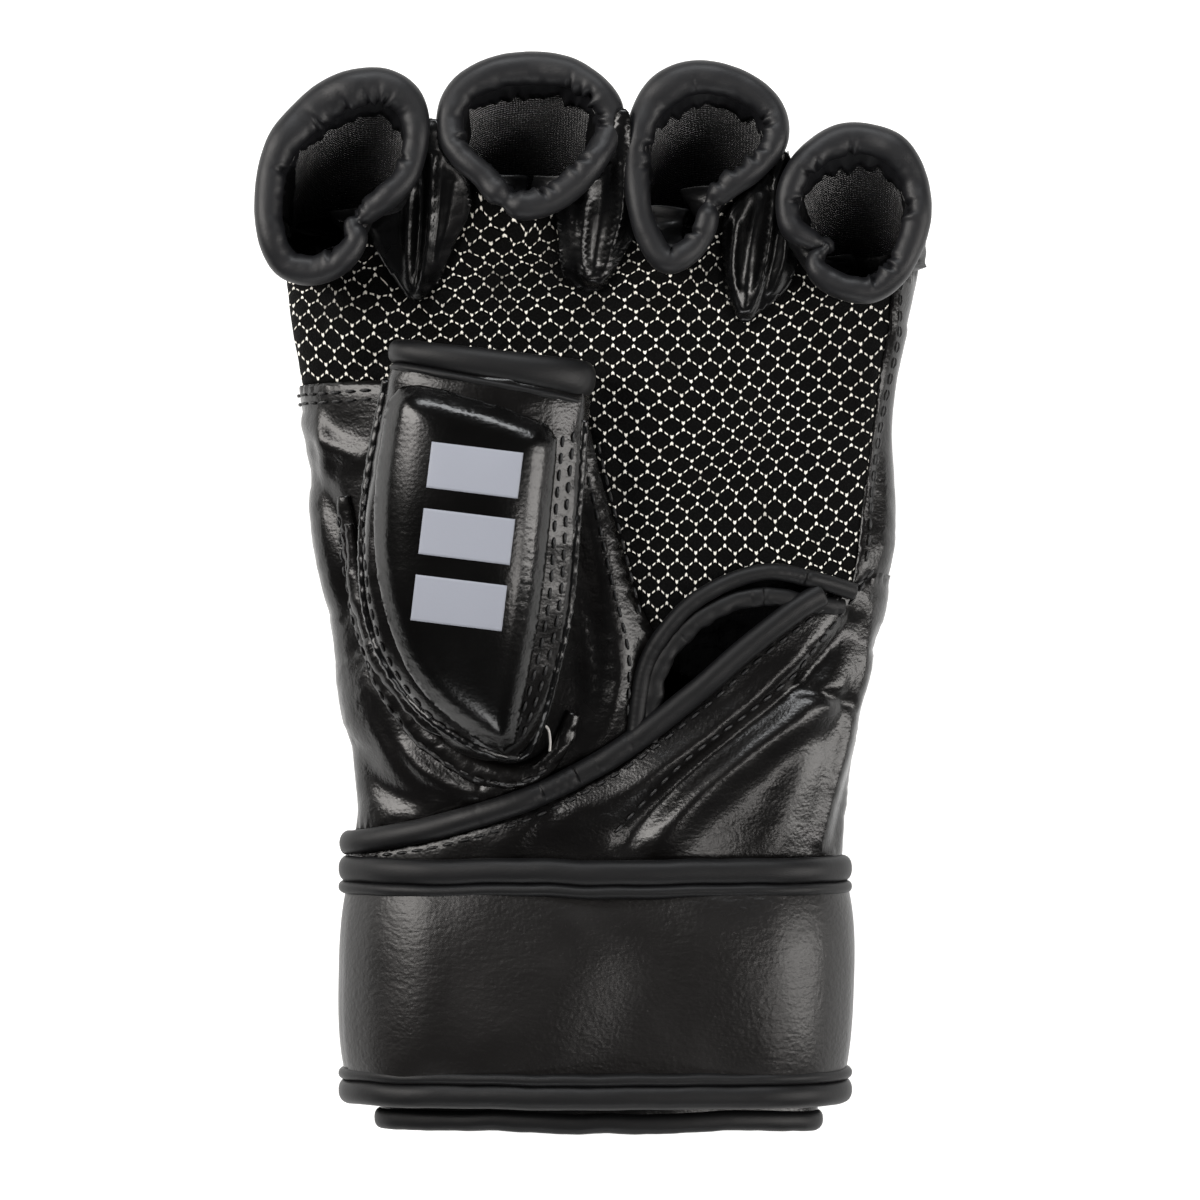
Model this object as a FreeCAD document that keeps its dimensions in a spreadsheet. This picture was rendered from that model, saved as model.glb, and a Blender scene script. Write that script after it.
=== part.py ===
"""Open-finger sparring glove for the left hand, lying on its padded back with the palm up.

Row frame, millimetres: +X towards the little finger, +Y towards the finger ends, +Z out of the palm.
The origin is on the resting face, under the middle of the glove's length and width.
Every size comes from the sheet; the sub-parts are nested lofts trimmed by sketched prisms, so that
the cover, foam and lining of one place share their faces.
"""

import FreeCAD, Part
import math
import os

import Sketcher

DOC = FreeCAD.newDocument("sparring_glove")
SHEET = DOC.addObject("Spreadsheet::Sheet", "sheet")

# Driving dimensions, millimetres and degrees.
SIZES = {
    # materials
    "leather": 1.5,
    "lining": 1.0,
    "palm_cloth": 2.0,
    "palm_backing": 0.8,
    "wrist_y": -60.0, "wrist_gap": 1.0, "crease_y": 55.0, "knuckle_y": 107.0, "hand_x": 0.8,
    # the height where the back meets the palm side
    "split_wrist": 20.0, "split_crease": 19.0, "split_knuckle": 30.0,
    # palm seams, in plan
    "mesh_low_y": 47.0, "side_bend_y": 72.0, "mesh_left_x": -4.0, "mesh_tip_x": 13.0, "mesh_tip_y": -8.0,
    "side_low_x": 56.0, "side_top_x": 66.5, "gusset_x": -25.0,
    "flap_x": -69.5, "flap_y": 96.4, "flap_radius": 150.8, "flap_bound": 5.6, "flap_high_y": 16.0,
    "slit_x": 41.0, "slit_y": -27.0, "slit_radius": 31.0, "slit_bound": 4.0,
    "slit_low_x": 7.0, "slit_low_y": -33.0, "slit_high_x": 60.0, "slit_high_y": 10.0, "slit_far_x": -8.0,
    "bound_thick": 2.4,
    # wrist
    "cuff_low_y": -120.0, "cuff_half": 49.0, "cuff_rise": 15.0, "cuff_mid": 24.4, "cuff_wall": 2.0,
    "cuff_bound": 4.5, "cuff_bound_thick": 1.2,
    "strap_low_y": -115.0, "strap_top_y": -60.3, "strap_bound": 7.5, "strap_bound_out": 1.0,
    "strap_left": -56.5, "strap_right": 56.5, "strap_under": 1.6, "strap_over": 43.0,
    "strap_skin": 1.0, "strap_wall": 2.6, "patch": 0.6, "patch_inset": 2.0,
    "underlap_z": 5.6, "underlap_x": -30.0, "tail_x": 37.0, "tail_end": 6.0, "tail_cut": 45.0,
    # fingers: shared
    "curl": 58.0, "base_plane": 62.0, "end_lean": 38.5, "bead": 3.2, "bead_inset": 1.0,
    "loop_wall": 3.0, "side_wall": 5.5, "hole_trim": 5.0, "loop_seam": 1.15,
    # fingers: middle of the loop, half width, half depth, back crease, back length, and how much
    # shorter the palm side is at the rim
    "index_x": -56.0, "index_w": 18.5, "index_d": 18.0, "index_y": 91.0, "index_z": 15.0,
    "index_len": 46.0, "index_drop": 19.0,
    "middle_x": -15.5, "middle_w": 19.5, "middle_d": 18.0, "middle_y": 95.0, "middle_z": 11.5,
    "middle_len": 45.0, "middle_drop": 13.0,
    "ring_x": 23.5, "ring_w": 19.0, "ring_d": 18.5, "ring_y": 93.0, "ring_z": 12.0,
    "ring_len": 46.0, "ring_drop": 21.0,
    "little_x": 59.0, "little_w": 16.0, "little_d": 15.5, "little_y": 80.5, "little_z": 16.5,
    "little_len": 42.0, "little_drop": 17.0,
    # thumb
    "thumb_x": -31.0, "thumb_y": -34.0, "thumb_z": 45.8, "thumb_lean": 7.0,
    "thumb_long": 82.0, "thumb_half": 22.5, "thumb_rise": 11.5, "thumb_pad": 3.0, "thumb_print": 0.3,
    "thumb_bead": 3.0, "thumb_hole_half": 14.5, "thumb_hole_rise": 6.0, "thumb_hole_mid": 10.5,
    "thumb_split": 10.0, "thumb_split_low": 6.0,
    "root_x": -8.0, "root_y": -2.0, "root_z": 40.5, "root_radius": 46.0, "root_bead": 2.6,
    "root_start": 162.0, "root_sweep": 66.0,
    # thumb print: three bars across the pad
    "bar_low": 27.0, "bar_step": 14.5, "bar_long": 10.0, "bar_half": 10.0, "bar_x": -2.5,
}

# The hand tube's oval sections from the wrist to the knuckles: place, half width, half height and
# height of the middle, then the last three again for the hollow inside the back padding.
HAND = (
    (-60, 54.5, 17, 23.5, 49.5, 13, 25.5),
    (-45, 56, 18.6, 22.4, 50.7, 13.8, 25.2),
    (-30, 58, 20, 21.5, 52, 14.5, 25),
    (-12, 61.2, 21.8, 21.6, 54.6, 14.5, 26.6),
    (8, 64.3, 23, 22, 57.3, 14.2, 28.7),
    (32, 66.6, 23.6, 22.4, 59, 14.2, 29),
    (55, 68, 23.5, 22.9, 60.5, 14.5, 29.6),
    (74, 70.2, 22.9, 26, 62.8, 14.5, 33),
    (89, 72.6, 22.3, 30, 65, 14.5, 36.5),
    (102, 75, 22, 34.5, 67, 14.5, 40),
)
HAND_COLUMNS = ("place", "half", "rise", "mid", "in_half", "in_rise", "in_mid")

# Stations along a finger's sleeve: place, and how much slimmer it is there.
SLEEVE = ((-8, 0.9), (14, 0.2), (34, 0), (64, 0.9))

for group, columns, stations in (("hand", HAND_COLUMNS, HAND), ("sleeve", ("place", "slim"), SLEEVE)):
    for i, station in enumerate(stations):
        for column, value in zip(columns, station):
            SIZES[f"{group}_{column}_{i}x"] = value

for row, (alias, value) in enumerate(SIZES.items(), start=1):
    SHEET.set(f"A{row}", alias)
    SHEET.set(f"B{row}", str(value))
    SHEET.setAlias(f"B{row}", alias)
DOC.recompute()

# Lengths of cutting tools that only have to reach past the glove, or past one piece.
PAST = "2"
PLAN_DEPTH = "90"
WIDE = "200"
LONG = "300"
REACH = "60"
LEFT, RIGHT, TOP = "-90", "90", "110"

X_AXIS = FreeCAD.Vector(1, 0, 0)
Y_AXIS = FreeCAD.Vector(0, 1, 0)
Z_AXIS = FreeCAD.Vector(0, 0, 1)
PARTS = []


def s(text):
    """An expression in sheet names, such as "{palm_half} - 2", with the names made references."""
    return text.replace("{", "sheet.").replace("}", "")


def size_of(text):
    """The value of an expression in sheet names."""
    return SHEET.evalExpression(s(text))


def at(obj, x="0", y="0", z="0", axis=X_AXIS, angle="0"):
    """Binds an object's Placement to expressions: a place, and a turn in degrees about an axis."""
    obj.Placement = FreeCAD.Placement(FreeCAD.Vector(0, 0, 0), FreeCAD.Rotation(axis, 1))
    obj.setExpression("Placement.Base.x", s(x))
    obj.setExpression("Placement.Base.y", s(y))
    obj.setExpression("Placement.Base.z", s(z))
    obj.setExpression("Placement.Rotation.Angle", s(angle))
    return obj


def primitive(kind, name, **sizes):
    """A Part primitive whose properties are bound to expressions."""
    obj = DOC.addObject(kind, name)
    for prop, text in sizes.items():
        obj.setExpression(prop, s(text))
    return obj


def boolean(kind, name, base, tool):
    """Part::Cut or Part::Common of two objects."""
    obj = DOC.addObject(kind, name)
    obj.Base = base
    obj.Tool = tool
    obj.Refine = False
    return obj


def cut(name, base, tool):
    return boolean("Part::Cut", name, base, tool)


def common(name, base, tool):
    return boolean("Part::Common", name, base, tool)


def fuse(name, *shapes):
    obj = DOC.addObject("Part::MultiFuse", name)
    obj.Shapes = list(shapes)
    obj.Refine = True
    return obj


def keep(obj, node):
    """Names a sub-part, so that it is exported."""
    obj.Label = node
    PARTS.append(obj)
    return obj


def oval(name, half_x, half_z, x, y, z):
    """An ellipse across the Y axis."""
    obj = primitive("Part::Ellipse", name, MajorRadius=half_x, MinorRadius=half_z)
    return at(obj, x, y, z, X_AXIS, "90")


TALL = "create(<<rotation>>; create(<<vector>>; 1; 1; 1); 240)"


def tall_oval(name, half_x, half_z, y, z, lean="0"):
    """An ellipse across the Y axis whose long way is up, leaned back about X."""
    obj = primitive("Part::Ellipse", name, MajorRadius=half_z, MinorRadius=half_x)
    turn = f"create(<<rotation>>; create(<<vector>>; 1; 0; 0); {lean}) * {TALL}"
    obj.setExpression("Placement", s(f"create(<<placement>>; create(<<vector>>; 0; {y}; {z}); {turn})"))
    return obj


def loft(name, sections):
    obj = DOC.addObject("Part::Loft", name)
    obj.Sections = sections
    obj.Solid = True
    return obj


def sweep(name, section, path):
    """A closed bead: a round section carried round a path."""
    obj = DOC.addObject("Part::Sweep", name)
    obj.Sections = [section]
    obj.Spine = (path, [])
    obj.Solid = True
    obj.Frenet = True
    return obj


def origin_plane(body, role):
    return next(f for f in body.Origin.OriginFeatures if f.Role == role)


def prism(name, plane, corners, depth, both_ways=False):
    """A sketched polygon with every corner bound to the sheet, padded to a depth."""
    body = DOC.addObject("PartDesign::Body", name)
    sketch = body.newObject("Sketcher::SketchObject", name + "_outline")
    sketch.AttachmentSupport = [(origin_plane(body, plane), "")]
    sketch.MapMode = "FlatFace"
    count = len(corners)
    turn = 2 * math.pi / count
    ring = [FreeCAD.Vector(math.cos(turn * i), math.sin(turn * i), 0) for i in range(count)]
    for i in range(count):
        sketch.addGeometry(Part.LineSegment(ring[i], ring[(i + 1) % count]), False)
    for i in range(count):
        sketch.addConstraint(Sketcher.Constraint("Coincident", i, 2, (i + 1) % count, 1))
    for i, corner in enumerate(corners):
        for kind, start, text in zip(("DistanceX", "DistanceY"), (ring[i].x, ring[i].y), corner):
            bound = sketch.addConstraint(Sketcher.Constraint(kind, -1, 1, i, 1, start))
            sketch.setExpression(f"Constraints[{bound}]", s(text))
    pad = body.newObject("PartDesign::Pad", name + "_pad")
    pad.Profile = sketch
    pad.SideType = "Symmetric" if both_ways else "One side"
    pad.setExpression("Length", s(depth))
    return body


# ---------------------------------------------------------------- the hand tube and the palm panels

def hand_loft(name, inset, kind=""):
    """The hand tube's outside, or the hollow in its back padding, drawn in by inset."""
    sections = []
    for i in range(len(HAND)):
        half, rise, mid = (f"{{hand_{kind}{column}_{i}x}}" for column in ("half", "rise", "mid"))
        sections.append(oval(f"{name}_{i}", f"{half} - ({inset})", f"{rise} - ({inset})",
                             "{hand_x}", f"{{hand_place_{i}x}}", mid))
    return loft(name, sections)


FINGERS = ("index", "middle", "ring", "little")
BELOW_WRIST = f"{{wrist_y}} - {PAST}"


def finger_space():
    """The room beyond the hand's stepped end, one slanted box for each finger."""
    lows = (f"-{WIDE} / 2", "({index_x} + {index_w} + {middle_x} - {middle_w}) / 2",
            "({middle_x} + {middle_w} + {ring_x} - {ring_w}) / 2",
            "({ring_x} + {ring_w} + {little_x} - {little_w}) / 2")
    highs = lows[1:] + (f"{WIDE} / 2",)
    boxes = []
    for finger, low, high in zip(FINGERS, lows, highs):
        box = primitive("Part::Box", f"{finger}_space", Length=f"({high}) - ({low})",
                        Width=f"2 * {REACH}", Height=f"3 * {REACH}")
        at(box, low, f"{{{finger}_y}} + {REACH} * sin({{end_lean}})",
           f"{{{finger}_z}} - {REACH} * cos({{end_lean}})", X_AXIS, "{end_lean}")
        boxes.append(box)
    return fuse("finger_space", *boxes)


def side_prism(name, back):
    """The back or the palm half of the hand tube, split at the side seam."""
    far = f"-{PLAN_DEPTH}" if back else PLAN_DEPTH
    corners = [(BELOW_WRIST, "{split_wrist}"), (BELOW_WRIST, far), ("{knuckle_y}", far),
               ("{knuckle_y}", "{split_knuckle}"), ("{crease_y}", "{split_crease}")]
    return prism(name, "YZ_Plane", corners, WIDE, both_ways=True)


space = finger_space()
outer = hand_loft("hand_outer", "0")
under_cover = hand_loft("hand_under_cover", "{leather}")
under_palm = hand_loft("hand_under_palm", "{palm_cloth}")
under_backing = hand_loft("hand_under_backing", "{palm_cloth} + {palm_backing}")
over_palm = hand_loft("hand_over_palm", "-{bound_thick}")
room = hand_loft("hand_room", "0", "in_")
room_lined = hand_loft("hand_room_lined", "{lining}", "in_")
back_side = side_prism("back_side", True)
palm_side = side_prism("palm_side", False)
table = primitive("Part::Box", "table", Length=WIDE, Width=LONG, Height=REACH)
at(table, f"-{WIDE} / 2", f"-{LONG} / 2", f"-{REACH}")


def layer(name, big, small, side):
    """The space between two nested lofts on one side of the seam, short of the fingers."""
    shell = cut(name + "_shell", big, small)
    return common(name, cut(name + "_short", shell, space), side)


keep(cut("back_cover", layer("back_cover_layer", outer, under_cover, back_side), table), "back_cover")
keep(layer("back_foam", under_cover, room, back_side), "back_foam")
keep(layer("back_lining", room, room_lined, back_side), "back_lining")

flap_disc = at(primitive("Part::Cylinder", "flap_disc", Radius="{flap_radius}", Height=PLAN_DEPTH),
               "{flap_x}", "{flap_y}")
flap_edge = at(primitive("Part::Cylinder", "flap_edge", Radius="{flap_radius} + {flap_bound}",
                         Height=PLAN_DEPTH), "{flap_x}", "{flap_y}")
slit_disc = at(primitive("Part::Cylinder", "slit_disc", Radius="{slit_radius}", Height=PLAN_DEPTH),
               "{slit_x}", "{slit_y}")
slit_inner = at(primitive("Part::Cylinder", "slit_inner", Radius="{slit_radius} - {slit_bound}",
                          Height=PLAN_DEPTH), "{slit_x}", "{slit_y}")
above_flap = common("above_flap", flap_disc, prism(
    "above_flap_plan", "XY_Plane",
    [(LEFT, BELOW_WRIST), ("{slit_high_x}", BELOW_WRIST), ("{slit_high_x}", TOP), (LEFT, TOP)],
    PLAN_DEPTH))

mesh_plan = prism("mesh_plan", "XY_Plane", [
    (LEFT, "{mesh_low_y}"), ("{mesh_left_x}", "{mesh_low_y}"), ("{mesh_tip_x}", "{mesh_tip_y}"),
    ("{side_low_x}", "{mesh_tip_y}"), ("{side_top_x}", "{side_bend_y}"), ("{side_top_x}", TOP),
    (LEFT, TOP)], PLAN_DEPTH)
index_plan = prism("index_plan", "XY_Plane", [
    (LEFT, BELOW_WRIST), ("{gusset_x}", BELOW_WRIST), ("{gusset_x}", "{mesh_low_y}"),
    (LEFT, "{mesh_low_y}")], PLAN_DEPTH)
gusset_plan = prism("gusset_plan", "XY_Plane", [
    ("{gusset_x}", BELOW_WRIST), ("{slit_high_x}", BELOW_WRIST),
    ("{slit_high_x}", "{mesh_tip_y}"), ("{mesh_tip_x}", "{mesh_tip_y}"),
    ("{mesh_left_x}", "{mesh_low_y}"), ("{gusset_x}", "{mesh_low_y}")], PLAN_DEPTH)
little_plan = prism("little_plan", "XY_Plane", [
    ("{side_low_x}", "{mesh_tip_y}"), (RIGHT, "{mesh_tip_y}"), (RIGHT, TOP), ("{side_top_x}", TOP),
    ("{side_top_x}", "{side_bend_y}")], PLAN_DEPTH)
heel_plan = prism("heel_plan", "XY_Plane", [
    (LEFT, BELOW_WRIST), (RIGHT, BELOW_WRIST), (RIGHT, "{mesh_tip_y}"),
    (LEFT, "{mesh_tip_y}")], PLAN_DEPTH)

mesh_open = cut("mesh_open", mesh_plan, slit_disc)
gusset_open = common("gusset_open", cut("gusset_cut", gusset_plan, slit_disc), flap_disc)
palm_band = layer("palm_band", outer, under_palm, palm_side)
keep(common("palm_mesh", palm_band, mesh_open), "palm_mesh")
keep(common("palm_backing", layer("backing_band", under_palm, under_backing, palm_side), mesh_open),
     "palm_backing")
keep(common("index_side_panel", palm_band, common("index_plan_above", index_plan, above_flap)),
     "index_side_panel")
keep(common("thumb_gusset", palm_band, gusset_open), "thumb_gusset")
keep(common("little_side_panel", palm_band, little_plan), "little_side_panel")
keep(common("heel_flap", palm_band, cut("heel_only", heel_plan, above_flap)), "heel_flap")

slit_half = prism("slit_half", "XY_Plane", [
    ("{slit_far_x}", "{slit_low_y}"), ("{slit_low_x}", "{slit_low_y}"),
    ("{slit_high_x}", "{slit_high_y}"), ("{slit_high_x}", TOP), ("{slit_far_x}", TOP)], PLAN_DEPTH)
slit_ring = cut("slit_ring", slit_disc, slit_inner)
slit_edge = common("slit_edge", common("slit_edge_above", slit_ring, slit_half), flap_disc)
keep(common("slit_binding", layer("thick_band", over_palm, under_palm, palm_side), slit_edge),
     "slit_binding")
flap_ring = cut("flap_ring", flap_edge, flap_disc)
flap_strip = prism("flap_strip", "XY_Plane", [
    (LEFT, "{wrist_y} + {wrist_gap}"), ("{slit_high_x}", "{wrist_y} + {wrist_gap}"),
    ("{slit_high_x}", "{flap_high_y}"), (LEFT, "{flap_high_y}")], PLAN_DEPTH)
keep(common("heel_flap_binding", layer("raised_band", over_palm, outer, palm_side),
            common("flap_edge_strip", flap_ring, flap_strip)), "heel_flap_binding")

# ---------------------------------------------------------------- wrist: cuff, strap and its tail


def tube(name, grow, low, high):
    """A straight oval tube of the cuff's size, grown by grow, between two places along Y."""
    ends = [oval(f"{name}_{i}", f"{{cuff_half}} + ({grow})", f"{{cuff_rise}} + ({grow})",
                 "{hand_x}", y, "{cuff_mid}") for i, y in enumerate((low, high))]
    return loft(name, ends)


CUFF_LOW, CUFF_TOP = "{cuff_low_y}", "{wrist_y} - {wrist_gap}"
BELOW_CUFF = f"{CUFF_LOW} - {PAST}"
keep(cut("cuff", tube("cuff_out", "0", CUFF_LOW, CUFF_TOP),
         tube("cuff_in", "-{cuff_wall}", BELOW_CUFF, "{wrist_y}")), "cuff")
keep(cut("cuff_lining", tube("cuff_in_fit", "-{cuff_wall}", CUFF_LOW, CUFF_TOP),
         tube("cuff_bore", "-{cuff_wall} - {lining}", BELOW_CUFF, "{wrist_y}")), "cuff_lining")
BOUND_TOP = "{cuff_low_y} + {cuff_bound}"
keep(cut("cuff_binding", tube("cuff_bound_out", "{cuff_bound_thick}", CUFF_LOW, BOUND_TOP),
         tube("cuff_bound_in", "0", BELOW_CUFF, f"{BOUND_TOP} + {PAST}")), "cuff_binding")

# The strap is wound round the wrist: its start lies against the cuff, its tail over the start.
LEFT_R = "({strap_over} - {strap_under}) / 2"
RIGHT_R = "({strap_over} - {underlap_z}) / 2"
LEFT_MID = ("{strap_left} + " + LEFT_R, "({strap_over} + {strap_under}) / 2")
RIGHT_MID = ("{strap_right} - " + RIGHT_R, "({strap_over} + {underlap_z}) / 2")


def end_ring(name, middle, radius, inset, depth, low, high):
    """A round ring along Y at one end of the strap's winding."""
    rings = []
    for part, r in (("out", f"{radius} - ({inset})"), ("in", f"{radius} - ({inset}) - ({depth})")):
        ring = primitive("Part::Cylinder", f"{name}_{part}", Radius=r, Height=f"({high}) - ({low})")
        rings.append(at(ring, middle[0], low, middle[1], X_AXIS, "-90"))
    return cut(name, *rings)


def slab(name, x_low, x_high, z_low, z_high, low, high):
    box = primitive("Part::Box", name, Length=f"({x_high}) - ({x_low})", Width=f"({high}) - ({low})",
                    Height=f"({z_high}) - ({z_low})")
    return at(box, x_low, low, z_low)


def half_box(name, middle, angle, low, high):
    """Half of the space round one end's axis: the half ahead of the turned Z axis."""
    box = primitive("Part::Box", name, Length=f"2 * {REACH}", Width=f"({high}) - ({low})",
                    Height=f"2 * {REACH}")
    return at(box, f"{middle[0]} - {REACH} * sin({angle})", low, f"{middle[1]} - {REACH} * cos({angle})",
              Y_AXIS, angle)


def strap_layer(name, inset, depth, low, high):
    """One layer of the strap's fixed part: round the wrist from the underlap to the tail's cut."""
    left = end_ring(name + "_left", LEFT_MID, LEFT_R, inset, depth, low, high)
    left_cut = cut(name + "_left_cut", left, half_box(name + "_left_half", LEFT_MID, "0", low, high))
    below = half_box(name + "_below", LEFT_MID, "{tail_cut}", low, high)
    left_end = cut(name + "_left_end", left_cut, below)
    right = end_ring(name + "_right", RIGHT_MID, RIGHT_R, inset, depth, low, high)
    right_half = half_box(name + "_right_half", RIGHT_MID, "0", low, high)
    right_end = common(name + "_right_end", right, right_half)
    top = slab(name + "_top", LEFT_MID[0], RIGHT_MID[0], f"{{strap_over}} - ({inset}) - ({depth})",
               f"{{strap_over}} - ({inset})", low, high)
    bottom = slab(name + "_bottom", "{underlap_x}", RIGHT_MID[0], f"{{underlap_z}} + ({inset})",
                  f"{{underlap_z}} + ({inset}) + ({depth})", low, high)
    return fuse(name, left_end, top, right_end, bottom)


def tail_layer(name, inset, depth, low, high):
    """One layer of the strap's tail, from the cut to its end."""
    left = end_ring(name + "_left", LEFT_MID, LEFT_R, inset, depth, low, high)
    left_cut = cut(name + "_left_cut", left, half_box(name + "_left_half", LEFT_MID, "0", low, high))
    below = half_box(name + "_below", LEFT_MID, "{tail_cut}", low, high)
    start = common(name + "_start", left_cut, below)
    flat = slab(name + "_flat", LEFT_MID[0], "{tail_x}", f"{{strap_under}} + ({inset})",
                f"{{strap_under}} + ({inset}) + ({depth})", low, high)
    return fuse(name, start, flat)


BODY_LOW, BODY_HIGH = "{strap_low_y} + {strap_bound}", "{strap_top_y} - {strap_bound}"
CORE = "{strap_wall} - {strap_skin}"
keep(strap_layer("strap_cover", "0", "{strap_skin}", BODY_LOW, BODY_HIGH), "strap_cover")
keep(strap_layer("strap_core", "{strap_skin}", CORE, BODY_LOW, BODY_HIGH), "strap_core")
BINDING = ("-{strap_bound_out}", "{strap_wall} + {strap_bound_out}")
keep(strap_layer("strap_top_binding", *BINDING, BODY_HIGH, "{strap_top_y}"), "strap_top_binding")
keep(strap_layer("strap_low_binding", *BINDING, "{strap_low_y}", BODY_LOW), "strap_low_binding")
PATCH_LOW, PATCH_HIGH = BODY_LOW + " + {patch_inset}", BODY_HIGH + " - {patch_inset}"
keep(slab("loop_patch", "{underlap_x} + {patch_inset}", "{tail_x} - 2 * {patch_inset}",
          "{underlap_z} - {patch}", "{underlap_z}", PATCH_LOW, PATCH_HIGH), "loop_patch")

keep(tail_layer("tail_cover", "0", "{strap_skin}", BODY_LOW, BODY_HIGH), "tail_cover")
keep(tail_layer("tail_core", "{strap_skin}", CORE, BODY_LOW, BODY_HIGH), "tail_core")
keep(tail_layer("tail_top_binding", *BINDING, BODY_HIGH, "{strap_top_y}"), "tail_top_binding")
keep(tail_layer("tail_low_binding", *BINDING, "{strap_low_y}", BODY_LOW), "tail_low_binding")
keep(slab("hook_patch", "{underlap_x} + 2 * {patch_inset}", "{tail_x} - {patch_inset}",
          "{strap_under} + {strap_wall}", "{strap_under} + {strap_wall} + {patch}",
          PATCH_LOW, PATCH_HIGH), "hook_patch")
keep(slab("tail_end_binding", "{tail_x}", "{tail_x} + {tail_end}", "{strap_under} - {strap_bound_out}",
          "{strap_under} + {strap_wall}", "{strap_low_y}", "{strap_top_y}"), "tail_end_binding")

# ---------------------------------------------------------------- the four finger loops

HOLE_ENDS = (f"{{sleeve_place_0x}} - {PAST}", f"{{sleeve_place_{len(SLEEVE) - 1}x}} + {PAST}")


def finger(f):
    """One finger's sleeve, drawn with its back crease on the X axis and its length along Y, then
    turned up by the curl. The back holds the pad, the palm side is a narrow loop, and a bead of
    binding goes round the slanted rim."""
    w, d, length, drop = (f"{{{f}_{k}}}" for k in ("w", "d", "len", "drop"))
    hole_w, hole_d = f"{w} - {{side_wall}}", f"{d} - {{hole_trim}}"
    hole_mid = f"2 * {d} - {{loop_wall}} - ({hole_d})"

    def sleeve(name, inset):
        return loft(name, [
            tube_oval(f"{name}_{i}", f"{w} - ({inset}) - {{sleeve_slim_{i}x}}", f"{d} - ({inset})",
                      f"{{sleeve_place_{i}x}}", d)
            for i in range(len(SLEEVE))])

    def hole(name, grow):
        return loft(name, [
            tube_oval(f"{name}_{i}", f"{hole_w} + ({grow})", f"{hole_d} + ({grow})", y, hole_mid)
            for i, y in enumerate(HOLE_ENDS)])

    def at_base(height):
        return f"({height}) / tan({{base_plane}})"

    def at_rim(height):
        return f"{length} - {drop} * ({height}) / (2 * {d})"

    under, seam, over = f"-{PAST}", f"{d} * {{loop_seam}}", f"2 * {d} + {PAST}"
    back = prism(f"{f}_back_half", "YZ_Plane", [
        (at_base(under), under), (at_rim(under), under), (at_rim(seam), seam), (at_base(seam), seam)],
        REACH, both_ways=True)
    front = prism(f"{f}_palm_half", "YZ_Plane", [
        (at_base(seam), seam), (at_rim(seam), seam), (at_rim(over), over), (at_base(over), over)],
        REACH, both_ways=True)
    full, inner = sleeve(f"{f}_sleeve", "0"), sleeve(f"{f}_sleeve_in", "{leather}")
    bore, lined = hole(f"{f}_bore", "0"), hole(f"{f}_lined", "{lining}")
    made = {
        "cover": common(f"{f}_cover", cut(f"{f}_cover_ring", full, inner), back),
        "foam": common(f"{f}_foam", cut(f"{f}_foam_ring", inner, lined), back),
        "lining": common(f"{f}_lining", cut(f"{f}_lining_ring", lined, bore), back),
        "loop": common(f"{f}_loop", cut(f"{f}_loop_ring", full, bore), front),
        "binding": rim_binding(f, w, d, length, drop),
    }
    for kind, obj in made.items():
        at(obj, f"{{{f}_x}}", f"{{{f}_y}}", f"{{{f}_z}}", X_AXIS, "{curl}")
        keep(obj, f"{f}_{kind}")


def tube_oval(name, half_x, half_z, y, z):
    """A finger's cross section, whichever way it is longer."""
    if size_of(half_x) >= size_of(half_z):
        return oval(name, half_x, half_z, "0", y, z)
    return tall_oval(name, half_x, half_z, y, z)


def rim_binding(f, w, d, length, drop):
    """The round bead on a finger's rim, swept along the rim's oval."""
    slant = f"atan({drop} / (2 * {d}))"
    y = f"{length} - {drop} / 2 + {{bead}} * cos({slant})"
    z = f"{d} + {{bead}} * sin({slant})"
    half = f"{w} - {{bead_inset}} - {{bead}}"
    path = tall_oval(f"{f}_rim", half, f"({d} - {{bead}}) / cos({slant})", y, z, slant)
    bead = primitive("Part::Circle", f"{f}_bead", Radius="{bead}")
    return sweep(f"{f}_binding", at(bead, half, y, z, X_AXIS, slant), path)


for finger_name in FINGERS:
    finger(finger_name)

# ---------------------------------------------------------------- the thumb sheath

# Stations along the thumb: place, half width less the full one, half depth less the full one, and
# how far the sheath dips towards the palm there.
THUMB_STATIONS = (("1", "9", "4.5", "5"), ("22", "1.5", "1.2", "3"), ("50", "-1", "0", "1"),
                  ("{thumb_long}", "0", "0", "0"))

# Stations along the thumb's room: place, half width and half height less the full ones, and dip.
THUMB_HOLE_STATIONS = (("14", "5", "2", "5.2"), ("40", "0", "0", "1.1"), ("{thumb_long}", "0", "0", "0"))

# Corners of the raised pad, in the thumb's own plan.
THUMB_PAD_PLAN = [("0", "5"), ("9", "8"), ("15", "30"), ("17", "{thumb_long} - 8"),
                  ("-15", "{thumb_long} - 4"), ("-18.5", "44"), ("-14", "18")]


def thumb_loft(name, grow):
    return loft(name, [
        oval(f"{name}_{i}", f"{{thumb_half}} - ({narrow}) + ({grow})",
             f"{{thumb_rise}} - ({thin}) + ({grow})", "0", y, f"{{thumb_rise}} - ({thin}) - {dip}")
        for i, (y, narrow, thin, dip) in enumerate(THUMB_STATIONS)])


def thumb_hole(name, grow, beyond="0"):
    sections = [
        oval(f"{name}_{i}", f"{{thumb_hole_half}} - {narrow} + ({grow})",
             f"{{thumb_hole_rise}} - {thin} + ({grow})", "0", y, f"{{thumb_hole_mid}} - {dip}")
        for i, (y, narrow, thin, dip) in enumerate(THUMB_HOLE_STATIONS)]
    if beyond != "0":
        sections.append(oval(f"{name}_out", f"{{thumb_hole_half}} + ({grow})",
                             f"{{thumb_hole_rise}} + ({grow})", "0", f"{{thumb_long}} + {beyond}",
                             "{thumb_hole_mid}"))
    return loft(name, sections)


def thumb_place(obj):
    return at(obj, "{thumb_x}", "{thumb_y}", "{thumb_z}", Z_AXIS, "-{thumb_lean}")


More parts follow.
